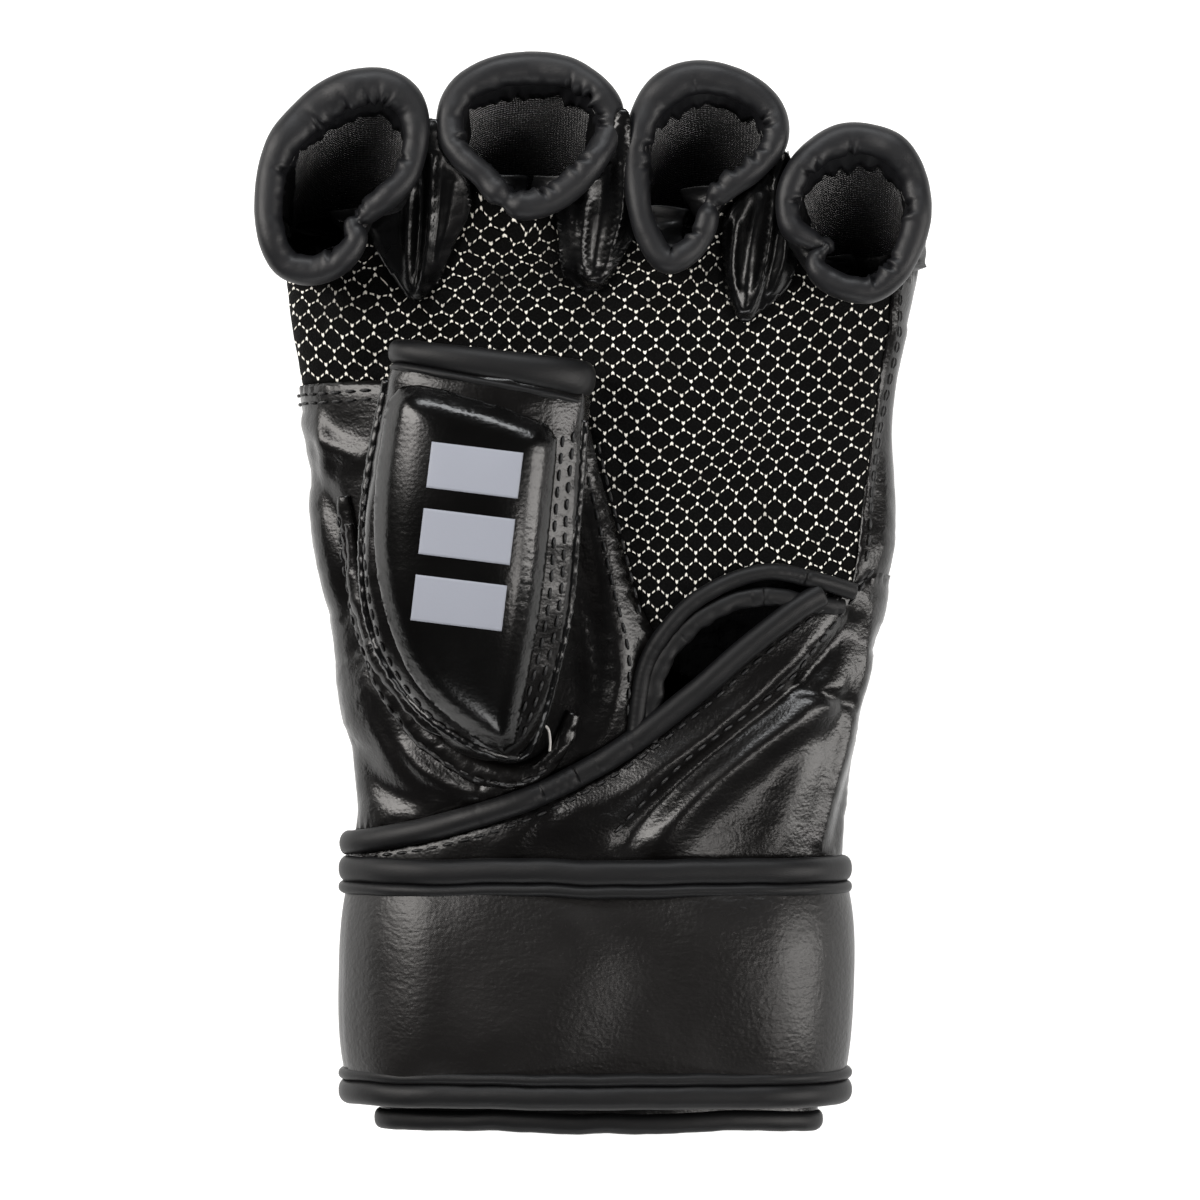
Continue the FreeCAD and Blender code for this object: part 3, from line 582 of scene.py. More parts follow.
FOLDS = [
    # the thumb's mound, and the hollow of the palm
    ([(-46, -8), (-30, -30), (-8, -46)], 20, 2.0),
    ([(10, 40), (30, 20), (40, 0)], 26, -1.8),
    # heel flap: long soft folds that run up to the little side, either side of the stitched pleat
    ([(58, -4), (50, -14.5), (42, -23), (22, -39), (12, -49), (5, -57)], 2.6, -2.6),
    ([(60, -12), (52, -22), (46, -26.5), (34, -35), (22, -46), (12, -58)], 4.6, 2.6),
    ([(55, -4), (42, -16.5), (28, -29.5), (14, -40), (0, -50)], 2.6, 1.4),
    ([(43, -20.5), (50, -22), (57, -24.6)], 1.0, -1.6),
    ([(55, -26), (49, -36), (43, -48), (40, -60)], 5.5, 1.5),
    ([(61, 0), (59, -15), (55, -31), (49, -58)], 1.7, 1.6),
    ([(62.5, -6), (59.8, -26), (52.5, -58)], 1.4, -1.5),
    ([(30, -24), (16, -37), (-6, -50), (-26, -58)], 4.0, 1.2),
    # little-side strip: upright glossy folds
    ([(70, 60), (69, 40), (67, 20), (64, 4)], 2.2, 1.6),
    ([(66, 58), (64.5, 36), (62, 14)], 1.6, -1.3),
    ([(64, 2), (63, -14), (60, -32), (57, -50)], 3.0, 1.5),
    # index side: creased leather beside the thumb
    ([(-66, 40), (-58, 33), (-50, 30)], 2.4, 1.3),
    ([(-66, 30), (-60, 22), (-54, 8), (-56, -6)], 2.6, -1.5),
    ([(-63, 24), (-60, 6), (-57, -12), (-52, -34)], 3.0, 1.5),
    ([(-62, 42), (-60, 34), (-61, 24)], 1.6, 0.9),
    ([(-52, -16), (-44, -34), (-30, -44), (-12, -44)], 3.0, 1.8),
    ([(-56, -30), (-48, -42), (-36, -48)], 3.0, -1.2),
    ([(-50, -22), (-40, -40), (-24, -48)], 1.8, -1.2),
    # thumb gusset: folds along its two stitch rows
    ([(4, 40), (7, 16), (11, -8), (8, -34)], 2.2, -1.2),
    ([(0, 20), (4, -2), (6, -22), (2, -38)], 2.4, 1.3),
    ([(-2, 16), (1, -2), (4, -16), (5, -28)], 0.9, 0.8),
    ([(-5, 2), (-2, -12), (-1, -24), (-5, -36)], 1.1, 0.9),
    ([(4, -20), (2.6, -28), (-2, -37)], 1.7, 1.5),
    # mesh: what the loops and the webs pull up
    ([(-40, 66), (-36, 54), (-26, 42)], 3.2, -1.8),
    ([(-1, 70), (-3, 58), (-8, 44)], 3.0, -1.6),
    ([(33, 62), (32, 48), (26, 34)], 3.4, -1.7),
    ([(-56, 70), (-54, 60), (-50, 52)], 5.0, 1.6),
    ([(-20, 80), (-20, 62), (-18, 48)], 7.0, 1.4),
    ([(18, 70), (14, 54), (10, 38)], 6.0, 1.3),
    ([(52, 62), (50, 44), (48, 26)], 6.0, 1.2),
]


def relief(xyz):
    """The folds and small creases of the palm side, in mm of lift."""
    xy = xyz[:, :2]
    lift = np.zeros(len(xy))
    for points, width, height in FOLDS:
        lift += ridge(xy, points, width, height)
    lift += 0.24 * noise(xyz, 24, 3, 2) + 0.05 * noise(xyz, 7, 4, 2)
    return lift


def outline(points, count):
    """A closed plan outline with even points, the given ones among them, straight between those."""
    p = np.array([*points, points[0]], float)
    s = lengths(p)
    at = np.linspace(0, s[-1], count, endpoint=False)
    return sampled(p, s, np.unique(np.round(np.concatenate([at, s[:-1]]), 3)))


def net_map(obj, xy):
    """The net's coordinates: bowed and pulled towards the loops. Its shade is painted shade near the loops and
    thumb.
    """
    x, y = xy.T
    pull = np.clip((y - 50) / 28, 0, 1)
    wob = 1.1 * np.stack([noise(xy, 46, 11, 1), noise(xy, 40, 12, 1)], 1)
    wob += (pull * 0.9)[:, None] * np.stack([noise(xy, 13, 13, 2), noise(xy, 11, 14, 2)], 1)
    bow = -0.0021 * (x - 8) ** 2 * np.clip((x + 40) / 60, 0.2, 1)
    lean = 0.35 * np.clip((24 - x - 0.35 * y) / 20, 0, 2)
    cloth_map(obj, np.stack([x * 1.02, y + bow + lean + 3 * pull ** 2], 1) + wob)
    # Painted shade: the threads fade in uneven patches under the finger loops and in a band beside the thumb
    # sheath.
    shade_near_loops = np.clip(0.25 + 0.9 * noise(xy, 20, 15, 2), 0, 1) * np.clip((y - 56) / 20, 0, 1)
    shade_near_thumb = np.clip(1 - np.abs(x - 3 + (y - 20) * 0.12) / 8, 0, 1)
    shade = obj.data.attributes.new("shade", "FLOAT", "POINT")
    shade.data.foreach_set("value", (0.9 * shade_near_loops + 0.45 * shade_near_thumb).astype(np.float32))


def panel(name, points, material, stands, slot, lift, spacing=1.5, thickness=1.5, body="hand", edge=0.0,
          extra=None, net=False):
    """A piece of the hand's outside, cut to a plan outline and laid over the hand with its folds. Its
    border is lowered by edge; extra(points) adds folds of its own."""
    rim = outline(points, 320)
    border = np.stack([to_turn(rim[:, 0], rim[:, 1]), rim[:, 1]], 1)
    flat, faces = fill(border, spacing)
    base = skin(flat[:, 0], flat[:, 1])
    rise = lift + relief(base)
    if extra is not None:
        rise = rise + extra(base)
    if edge:
        rise = rise - edge * np.exp(-((nearest(flat, border[::2]) / 1.6) ** 2))
    verts = base + skin_normal(flat[:, 0], flat[:, 1]) * rise[:, None]
    obj = make(name, (verts, faces), material, body, stands, slot)
    if sum(face.normal.z * face.area for face in obj.data.polygons) < 0:
        obj.data.flip_normals()
    if net:
        net_map(obj, base[:, :2])
    thicken(obj, thickness)
    return obj


STITCH, GAP, THICK = 2.4, 1.3, 0.34


def stitch_row(name, path, body, normal=(0, 0, 1), lift=0.25):
    """A row of stitches along a path in space: one small sunk capsule for each."""
    s = lengths(path)
    normal = np.broadcast_to(np.asarray(normal, float), path.shape)
    parts = []
    at = 0.6
    while at + STITCH < s[-1]:
        t = at + np.linspace(0, STITCH, 5)
        p, n = sampled(path, s, t), sampled(normal, s, t)
        bow = np.array([-0.35, 0.1, 0.25, 0.1, -0.35])[:, None]
        p = p + n * (lift + bow * THICK * 1.6)
        r = THICK * np.array([0.55, 0.95, 1.0, 0.95, 0.55])
        parts.append(tube(p, n, r, r * 0.8, sides=6))
        at += STITCH + GAP
    return make(name, joined(parts), THREAD, body, slot="leather")


def on_palm(points, count, lift):
    """A smooth line laid on the palm: its points and normals, folds included."""
    xy = curve(points, count)[:, :2]
    base = skin_at(xy)
    n = skin_normal(to_turn(xy[:, 0], xy[:, 1]), xy[:, 1])
    return base + n * (lift + relief(base))[:, None], n


# The palm's seams, in plan.
INDEX_SEAM = [(float(seam_place(-1, 46.5)), 46.5), (-46, 47.6), (-22, 47.5), (-4, 47)]
MESH_LOW = [(-1, 36), (1.5, 25), (5.6, 12), (9.6, -1), (13.2, -9)]
SLIT_TOP = [(13.2, -9), (16, -7), (21, -2.4), (30, 2.2), (39, 4), (48, 2.6), (57.5, 1)]
SIDE_EDGE = [(57.5, 1), (60.5, 18), (63.8, 41), (66, 62), (66.3, 72)]


def line(points, count=40):
    return [tuple(p) for p in curve(points, count)[:, :2]]


MESH_TOP = [(64, 69), (50, 71), (44, 82), (38, 88), (33, 88), (25, 86), (21, 77), (13, 76), (6, 88), (-4, 88),
            (-16, 86), (-34, 90), (-41, 84), (-50, 78), (-62, 75), *seam_run(-1, 74, 47, 14)[:-1]]
BACKING_TOP = [(67, 73), (60, 69), (54, 69), (49, 72), (45.5, 79), (43, 85), (42.4, 97), (38.6, 99), (37.6, 95),
               (33, 91), (27.5, 88), (24, 80), (20.4, 76), (15.8, 74.5), (12, 79), (9.6, 88), (8.4, 101),
               (4.4, 104), (3, 100), (0, 96), (-5, 90.5), (-10.4, 87.4), (-16.4, 86.6), (-21.4, 89), (-25, 93),
               (-30, 97), (-32.6, 102), (-38, 102), (-39.6, 98), (-41.8, 91.6), (-45.6, 87.6), (-50.5, 83.6),
               (-53.2, 78), (-55.4, 74.6), (-59, 72.8), *seam_run(-1, 73, 47, 14)[:-1]]
mesh_edge = line(INDEX_SEAM)[:-1] + line(MESH_LOW)[:-1] + line(SLIT_TOP)[:-1] + line(SIDE_EDGE)
panel("palm_mesh", mesh_edge + MESH_TOP, MESH, ["palm_mesh"], "mesh", -0.5, 1.4, 0.9, net=True)
panel("palm_backing", mesh_edge + BACKING_TOP, DARK, ["palm_backing"], "backing", -2.2, 3.0, 0.7)
for name, points, lift, edge in (
        ("index_side_panel", [
            *line([INDEX_SEAM[0], (-46, 47.6), (-24, 47.5)], 30), (-24, -44),
            *line([(-24, -47), (-34, -50), (-46, -52.4), (-53, -53.6)], 24), *seam_run(-1, -55, 46)], 0.35, 0.7),
        ("thumb_gusset", [
            (-26, 47), *line([(-4, 47), *MESH_LOW], 60), *line([(13.2, -9), (11.2, -18), (10.4, -31.4)], 16),
            *line([(6, -33.4), (-14, -43), (-26, -47)], 20)], 0.45, 0.7),
        ("little_side_panel", [*line(SIDE_EDGE[::-1]), (60.4, 2.6), *seam_run(1, 1, 74)], 0.5, 0.7),
        ("heel_flap", [
            *line([(float(seam_place(-1, -57)), -57), (-46, -56), (-34, -53.6), (-14, -47), (4.4, -37.4),
                   (21, -24.6), (32, -15), (44, -5.4), (54, -0.5), (62.8, 5)], 70),
            *seam_run(1, 3, -61.5), *seam_run(-1, -61.5, -58, 4)], 0.9, 0.6)):
    panel(name, points, LEATHER, [name], "leather", lift=lift, edge=edge)

# ------------------------------------------------------------------ bindings and stitches of the palm


def pucker(seed, amp, pitch, inner=0.6, nips=0, depth=0.0):
    """Small crosswise wrinkles for a rolled edge, stronger on its inner side, with a few deeper nips."""
    draw = np.random.RandomState(seed + 7)
    marks, tilt, deep = (draw.uniform(*span, nips) for span in ((0.02, 0.98), (-1.6, 1.6), (0.5, 1.0)))

    def at(s, a):
        s, a = np.broadcast_arrays(s, a)
        v = amp * noise(np.stack([s + 1.1 * np.sin(a), 2.2 * np.cos(a), 2.2 * np.sin(a)], -1), pitch, seed, 2)
        side = np.clip(0.3 + np.cos(a), 0, 1.3)
        for mark, lean, share in zip(marks, tilt, deep):
            near = (s - mark * s.max() - lean * np.sin(a)) / 0.75
            v = v - depth * share * (np.exp(-(near ** 2)) - 0.45 * np.exp(-((near - 1.7) ** 2))) * side
        return v * (1 - inner + inner * side)
    return at


def palm_roll(points, count, lift, half_across, half_out, sides=20, wrinkle=None):
    """A rolled edge along a smooth line on the palm."""
    p, n = on_palm(points, count, lift)
    return tube(p, n, half_across, half_out, sides=sides, wrinkle=wrinkle)


flap_edge = palm_roll([(-56, -56.4), (-46, -54.4), (-34, -51.6), (-14, -45), (4.4, -35.4), (21, -22.6), (32, -13),
                       (44, -3.4), (50, 0.2)], 220, 1.5, 2.7, 2.0, 22, pucker(5, 0.07, 9))
make("heel_flap_binding", flap_edge, BINDING, "hand", ["heel_flap_binding"], "binding")
p, n = on_palm([(-54, -59.2), (-34, -56), (-13, -49.2), (6, -39), (23, -26), (36, -14.6), (48, -5), (60, 3.6)],
               200, 0.9)
stitch_row("flap_stitches", p, "hand", n, lift=0.15)
outer_roll = palm_roll([(8.6, -34), (9.6, -24), (11.2, -16), (14.6, -9.4), (21.1, -2.2), (30, 2.9), (39, 5),
                        (48, 3.4), (57, 0.8)], 180, 1.3, 1.9, 1.6, 18, pucker(6, 0.06, 7))
inner_roll = palm_roll([(12, -33), (12.6, -24), (14.6, -16), (18, -10.4), (23.6, -5.4), (31, -1.6), (39.6, -0.6),
                        (47, -2), (55, -3)], 180, 0.5, 2.1, 1.3, 18, pucker(7, 0.25, 5))
make("slit_binding", joined([outer_roll, inner_roll]), BINDING, "hand", ["slit_binding"], "binding")

for k, (points, lift) in enumerate((
        ([(-70, 44.6), (-58, 45), (-47, 45.6)], 0.5),
        ([(-70, 42.6), (-58, 43), (-47, 43.6)], 0.5),
        ([(0.5, 34), (3.4, 22), (7, 8), (11, -8)], 0.6),
        ([(-2.4, 30), (0.4, 18), (4, 2), (7.6, -14), (7, -30)], 0.6),
        ([(61.6, 6), (56, -2.5), (48, -12.5), (43.6, -18.2), (34, -26), (20.5, -36.3), (10, -47), (2, -55.6)], 1.0),
        ([(68, 78), (67.4, 60), (65.2, 41), (62, 18), (59.4, 4)], 0.7))):
    p, n = on_palm(points, 120, lift)
    stitch_row(f"palm_stitches_{k}", p, "hand", n)

# ------------------------------------------------------------------ fingers

CURL = math.radians(58)
# hinge, half width, half depth, rim plane (y, z at the back and at the palm), then the rim's bead in plan:
# x, y and half width. Points marked with a fourth number 0 are folds that only the bead follows.
FINGERS = {
    "index": ((-56, 91, 15), 18.5, 18, (115.4, 54, 72.8, 57), [
        (-52.3, 110.8, 4.3), (-46.5, 111.2, 4.1), (-41.6, 108.6, 3.6), (-39.4, 103.8, 3.1), (-39.6, 97.6, 2.9),
        (-41.6, 91.4, 2.9), (-45.4, 87.2, 3), (-49.4, 84.2, 2.8), (-52.6, 81, 2.4, 0), (-52.2, 77.6, 2.5),
        (-54.6, 73.9, 2.9), (-58.6, 71.6, 3.2), (-63.2, 70.8, 3.3), (-67.4, 72.2, 3.2), (-70, 76.4, 3.1),
        (-71.4, 82.6, 3), (-71.4, 88.6, 3.1), (-70.4, 94.4, 3.3), (-68, 99.6, 3.7), (-63.8, 104.2, 4.1),
        (-58.4, 108.4, 4.3)]),
    "middle": ((-15.5, 95, 11.5), 19.5, 18, (118.9, 49.7, 81.5, 57.7), [
        (-15, 115.7, 3.6), (-6.6, 115, 3.4), (-0.8, 111.7, 3.3), (3.0, 107, 3.1), (3.2, 101.6, 2.9),
        (0.1, 95.6, 3), (-4.8, 89.9, 3.2), (-10.4, 86.2, 3.2), (-16.4, 85.2, 3.3), (-21.2, 87.7, 3),
        (-24.6, 91.8, 2.8), (-29.1, 95.9, 2.8), (-31.6, 100.8, 3), (-31.5, 106.4, 3), (-28.6, 111.2, 3.3),
        (-22.6, 114.5, 3.6)]),
    "ring": ((23.5, 93, 12), 19, 18.5, (117.4, 51, 74.9, 52.8), [
        (22, 113.6, 3.9), (29.9, 112.7, 3.6), (36, 109.4, 3.3), (39.5, 104.6, 3), (39.4, 98.8, 2.8),
        (35, 93.4, 2.9), (29.2, 89.3, 2.8), (25.6, 85.8, 2.4, 0), (24.2, 80.4, 2.6), (20.7, 75.5, 2.8),
        (15.8, 73.3, 2.9), (12, 78.2, 2.8), (9.9, 84.3, 2.8), (9.2, 91.4, 3), (9.5, 98.4, 3), (10.9, 105, 3.3),
        (15.3, 110.8, 3.9)]),
    "little": ((59, 80.5, 16.5), 16, 15.5, (102.8, 52.1, 67.5, 54.1), [
        (59, 100.1, 3.5), (64.7, 98.4, 3.5), (68.4, 94.6, 3.2), (70.6, 89.1, 3), (70.8, 82.8, 3), (69, 76.3, 3),
        (65.8, 70.5, 3), (60.4, 66.9, 3), (54.2, 67.4, 3), (49.4, 70.2, 2.7), (48.4, 73.6, 2.0, 0),
        (51, 76.2, 1.9, 0), (47.6, 77.6, 2.3, 0), (43.6, 80, 2.6), (42.3, 84.4, 2.6), (42.9, 89.2, 2.9),
        (45.3, 94, 3.1), (49.3, 97.4, 3.4), (54.1, 99.6, 3.6)]),
}
PINCHES = {"index": [(-52.2, 81.6, 1.6)], "middle": [(-19, 86.8, 1.6)], "ring": [(25.4, 85.6, 1.4)],
           "little": [(50, 76.2, 1.4)]}


FINGER_SEED, SEED_STEP = 100, 20


class Finger:
    """One finger loop's surfaces, by the angle round it (0 at the back, 180 at the palm) and the share
    of the way from the crease to the rim."""

    def __init__(self, name):
        self.body = name + "_finger"
        self.hinge, self.w, self.d, self.plane, bead = FINGERS[name]
        self.bead = np.array([b[:3] for b in bead])
        loop = curve([b for b in bead if len(b) == 3], 240, closed=True)
        self.mid = loop[:, :2].mean(0)
        rel = loop[:, :2] - self.mid
        angle = np.degrees(np.arctan2(rel[:, 0], rel[:, 1]))
        order = np.argsort(angle)
        self.angles, self.reach = angle[order], np.hypot(*rel.T)[order]
        self.widths = loop[order, 2]

    def rim_z(self, y):
        yb, zb, yp, zp = self.plane
        return zb + (zp - zb) * (yb - np.asarray(y, float)) / (yb - yp)

    def rim(self, phi, grow):
        """A ring at the rim, grown by grow times the bead's half width."""
        phi = (np.asarray(phi, float) + 180) % 360 - 180
        r = np.interp(phi, self.angles, self.reach, period=360) + grow * np.interp(
            phi, self.angles, self.widths, period=360)
        a = np.radians(phi)
        x, y = self.mid[0] + r * np.sin(a), self.mid[1] + r * np.cos(a)
        return np.stack([x, y, self.rim_z(y) + 0.6], -1)

    def base(self, phi, inner):
        """The ring where the loop leaves the hand: the crease at the back, the palm's surface in front."""
        phi = (np.asarray(phi, float) + 180) % 360 - 180
        a = np.radians(phi)
        half, depth, mid = ((self.w - 5, self.d - 4.5, self.d + 1.5) if inner else (self.w - 0.6, self.d, self.d))
        z = mid - depth * np.cos(a)
        y = z / math.tan(math.radians(62))
        hx, hy, hz = self.hinge
        back = np.stack([hx + half * np.sin(a), hy + y * math.cos(CURL) - z * math.sin(CURL),
                         hz + y * math.sin(CURL) + z * math.cos(CURL)], -1)
        palm = self.rim(phi, -1.1 if inner else 0.2)
        palm[..., 1] += -1.0
        palm[..., 2] = skin_at(palm[..., :2].reshape(-1, 2)).reshape(palm.shape)[..., 2] - 3.5
        u = smoothstep((np.abs(phi) - 85) / 50)[..., None]
        return back * (1 - u) + palm * u

    def wall(self, phi, t, inner=False, lift=0.0, swell=0.0):
        """A point of the outer or inner wall; t is 0 at the base and 1 at the rim."""
        phi, t = np.broadcast_arrays(np.asarray(phi, float), np.asarray(t, float))
        low, high = self.base(phi, inner), self.rim(phi, -0.75 if inner else 0.35)
        p = low + (high - low) * t[..., None]
        a = np.radians(phi)
        out = np.stack([np.sin(a), np.cos(a) * 0.8, -0.5 * np.cos(a)], -1)
        return p + out * (lift + swell * np.sin(np.pi * np.clip(t, 0, 1)) ** 0.8)[..., None]

    def blend(self, obj):
        """Bakes the piece's placement into its points."""
        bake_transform(obj)


def finger_pad(f, name, seed):
    """The pad over the finger's back."""
    phi = np.linspace(-102, 102, 36)[:, None]
    t = np.linspace(-0.06, 0.985, 16)[None, :]
    outer = f.wall(phi, t, swell=1.3 * (0.35 + 0.65 * np.cos(np.radians(phi)) ** 2))
    inner = f.wall(phi, t, inner=True, lift=2.4)
    pad = make_closed(name + "_pad", closed_form(outer, inner), SMOOTH, None, [name + "_cover", name + "_foam"],
                      "leather")
    puff(pad, voxel=3.0, pressure=3.0, cap=1.1, levels=2)

    def folds(p):
        y, z = p[:, 1] - f.hinge[1] - 9, p[:, 2] - f.hinge[2] - 8
        crease = -1.0 * np.exp(-((y * 0.5 + z * 0.85) / 2.0) ** 2)
        return crease + 0.18 * noise(p, 18, seed, 2) + 0.06 * noise(p * [1, 0.4, 0.4], 5, seed + 1, 2)
    roughen(pad, folds)
    f.blend(pad)


def finger_lining(f, name, seed):
    """The knit inside the loop's back half."""
    phi = np.linspace(-108, 108, 80)[:, None]
    t = np.linspace(-0.3, 0.93, 40)[None, :]
    wall = f.wall(phi, t, inner=True, lift=0.1)
    wall = wall + 0.2 * noise(wall, 12, seed + 2)[..., None]
    knitted = lining(name + "_lining_cloth", wall, phi * 0.24, t * 44, None, [name + "_lining"], 0.9)
    apply_all(knitted)
    f.blend(knitted)


def finger_strap(f, name, seed):
    """The palm-side loop and the leather facings inside."""
    phi = np.linspace(94, 266, 60)[:, None]
    low = 0.03 - 0.38 * smoothstep((86 - np.abs(phi - 180)) / 14)
    t = low + (0.97 - low) * np.linspace(0, 1, 18)[None, :]
    tuck = 34 * np.clip(-t, 0, 1)[..., None] * np.sin(np.radians(phi))[..., None] * [-1, 0, 0]
    outer = f.wall(phi, t, lift=-0.3, swell=0.8) + tuck
    inner = f.wall(phi, t, inner=True, lift=0.3) + tuck
    wob = 0.45 * noise(outer, 7, seed + 3)[..., None]
    parts = [closed_form(outer + wob, inner + wob * 1.4)]
    for lo, hi in ((62, 122), (-122, -62)):
        phi = np.linspace(lo, hi, 30)[:, None]
        sheet = f.wall(phi, np.linspace(-0.1, 0.96, 30)[None, :], inner=True, lift=-0.5)
        buckle = 0.7 * noise(sheet * [1, 0.5, 0.5], 6, seed + 4)
        sheet = sheet + np.stack([np.sin(np.radians(phi)) * buckle, 0 * buckle, 0.4 * buckle], -1)
        parts.append(closed_form(sheet, sheet + np.sin(np.radians(phi))[..., None] * [0.7, 0, 0]))
    strap = make_closed(name + "_loop_strap", joined(parts), INNER, None, [name + "_loop"], "leather")
    subdivide(strap)
    f.blend(strap)


def finger_rim(f, name, seed):
    """The rolled bead, with the puckered edge it turns over inside the loop."""
    path = curve(f.bead, 300, closed=True)
    plan = path[:, :2]
    pts = np.concatenate([plan, f.rim_z(path[:, 1:2]) + 2.7], 1)
    pts[:, 2] += 0.7 * noise(plan, 22, seed + 5, 2)
    pts[:, :2] += 0.12 * np.stack([noise(plan, 20, seed + 6, 1), noise(plan, 20, seed + 7, 1)], 1)
    half = path[:, 2] * (1 + 0.03 * noise(plan, 18, seed + 8, 1))
    tall = np.full(300, 3.1)
    for *centre, size in PINCHES[name]:
        near = np.exp(-((nearest(plan, [centre]) / size) ** 2))
        half = half * (1 - 0.42 * near)
        tall = tall * (1 - 0.4 * near)
    roll = tube(pts, (0, 0, 1), half, tall, closed=True, sides=30, power=0.9,
                wrinkle=pucker(seed + 9, 0.16, 6, 0.8, nips=12, depth=0.8))
    phi = np.linspace(-180, 180, 240, endpoint=False)
    side = np.stack([np.sin(np.radians(phi)), np.cos(np.radians(phi)), 0 * phi], 1)
    edge = f.rim(phi, -0.55)
    deep = 4.6 + 1.6 * noise(edge[:, :2], 6, seed + 10, 2) + 1.2 * side[:, 1] ** 2
    flute = 0.5 * noise(edge[:, :2], 3.4, seed + 11, 1)[:, None]
    rows = []
    for s in np.linspace(0, 1, 7):
        to_wall = f.wall(phi, 1 - deep * s / 42, inner=True, lift=-0.75)
        rows.append((edge + [0, 0, 1.2]) * (1 - s) + (to_wall - side * s * flute) * s)
    ring = np.stack(rows + [row + side * 0.8 for row in rows[::-1]])
    skirt = (ring.reshape(-1, 3), grid_faces(*ring.shape[:2], True, True))
    make_closed(name + "_rim", joined([roll, skirt]), RIM, f.body, [name + "_binding"], "binding")


fingers = {name: Finger(name) for name in FINGERS}
for k, (name, f) in enumerate(fingers.items()):
    for build in (finger_pad, finger_lining, finger_strap, finger_rim):
        build(f, name, FINGER_SEED + SEED_STEP * k)

# Webs between the loops: a folded tongue of leather that hangs from between two rims to a point on the mesh.
WEBS = {
    "index": ([(-51, 82), (-48.6, 77), (-44.2, 69.8), (-39.6, 64.8), (-34.6, 69), (-31, 77), (-27.4, 85), (-28, 92),
               (-32.4, 98), (-33.6, 103.6), (-38.4, 103.6), (-42, 96), (-46, 88)], [
        ([(-35.2, 98), (-35.6, 88), (-36.4, 78), (-38.7, 65.4)], 0.95, 2.6),
        ([(-38, 98), (-38.1, 86), (-38.7, 76), (-39.7, 67)], 1.1, -1.3),
        ([(-40.4, 90), (-41, 78), (-40.6, 67)], 1.0, 1.4),
        ([(-31, 92), (-33, 80), (-36.4, 69)], 1.7, 1.0)]),
    "middle": ([(-9, 88), (-8, 78), (-7.2, 71), (-3.6, 67.2), (0, 66.8), (3, 69), (6, 74.5), (9.4, 81), (9.4, 90),
                (8, 98), (7.4, 105.6), (4.6, 105.6), (3.4, 99), (0.6, 93), (-4, 89)], [
        ([(-1.4, 92), (-2.7, 80), (-2.6, 73), (-0.6, 69.2), (1.8, 71), (3.6, 77), (5.8, 85), (6.4, 96)], 0.95, 2.6),
        ([(3.4, 98), (1.8, 88), (0.8, 80), (-0.4, 73)], 1.8, -1.4),
        ([(-6.4, 85), (-5, 78), (-5.6, 71)], 0.9, 1.3)]),
    "ring": ([(28, 82), (28, 73), (29, 66.4), (31.6, 61), (34, 60.2), (36.6, 62.6), (39.6, 65), (43, 69), (45, 76),
              (42.6, 84), (41.6, 90), (42.8, 96.4), (40, 98), (38.6, 94), (34, 89.6), (29.6, 85)], [
        ([(31, 84), (29.9, 73), (31, 65.6), (32.9, 61.8)], 1.0, 1.7),
        ([(39.6, 93), (38.2, 81), (36.2, 70), (33.6, 61.8)], 0.95, 2.6),
        ([(36.4, 89), (34.4, 78), (33, 67.6)], 1.7, -1.4),
        ([(42, 83), (41, 74), (38.4, 66)], 1.3, 1.1)]),
}
for finger, (plan, ridges) in WEBS.items():
    f = fingers[finger]

    def tongue(p):
        xy = p[:, :2]
        lift = 1.0 * smoothstep((xy[:, 1] - 80) / 20) + 0.05 * noise(xy, 3.2, 305, 2)
        for points, width, height in ridges:
            lift += ridge(xy, points, width, height)
        return lift

    web = panel(f"web_{finger}", line(plan + plan[:1], 90)[:-1], WEB, [], "leather", lift=1.7, spacing=0.75,
                thickness=2.2, body=None, edge=0.8, extra=tongue)
    apply_all(web)
    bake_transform(web)

# ------------------------------------------------------------------ the thumb sheath

THUMB = np.array([-31.0, -34.0, 45.8])
THUMB_TURN = math.radians(7)
AHEAD = np.array([math.sin(THUMB_TURN), math.cos(THUMB_TURN)])
ACROSS = np.array([AHEAD[1], -AHEAD[0]])


def thumb_plan(xy):
    """Plan places in the thumb's own frame: u across it, v along it."""
    rel = xy[..., :2] - THUMB[:2]
    return np.stack([rel @ ACROSS, rel @ AHEAD], -1)


def thumb_world(u, v, z):
    u, v, z = np.broadcast_arrays(u, v, z)
    return np.stack([THUMB[0] + u * ACROSS[0] + v * AHEAD[0], THUMB[1] + u * ACROSS[1] + v * AHEAD[1],
                     THUMB[2] + z], -1)


ALONG = [-2, 4, 10, 17, 30, 47.6, 63, 78, 86]
SHEATH_LEFT = spline(ALONG, [1, -5.5, -11.5, -17.6, -23, -25.4, -25.2, -24.6, -24.2])
SHEATH_RIGHT = spline(ALONG, [13.5, 17.5, 19.6, 21, 22, 22, 21.4, 20.8, 20.6])
SHEATH_RISE = spline([-2, 6, 22, 50, 82], [5.6, 7.6, 10, 11, 10.8])
SHEATH_MID = spline([-2, 6, 22, 50, 82], [2.4, 4.6, 7.6, 10.4, 11.3])
BORE_HALF = spline([14, 40, 84], [9.5, 14.5, 15])
BORE_RISE = spline([14, 40, 84], [4, 6, 6.4])
BORE_MID = spline([14, 40, 84], [5.3, 9.4, 10.8])
ROUND = 64


def sheath(a, v, lift=0.0):
    """A point of the sheath's outside at the angle a round it, lifted off it."""
    mid, half = halves(SHEATH_LEFT, SHEATH_RIGHT, v)
    return thumb_world(mid + (half + lift) * bulged(np.sin(a), 0.82), v,
                       SHEATH_MID(v) + (SHEATH_RISE(v) + lift) * bulged(np.cos(a), 0.82))


def bore(a, v, lift=0.0):
    """A point of the sheath's inside."""
    return thumb_world(-1.2 + (BORE_HALF(v) + lift) * np.sin(a), v, BORE_MID(v) + (BORE_RISE(v) + lift) * np.cos(a))


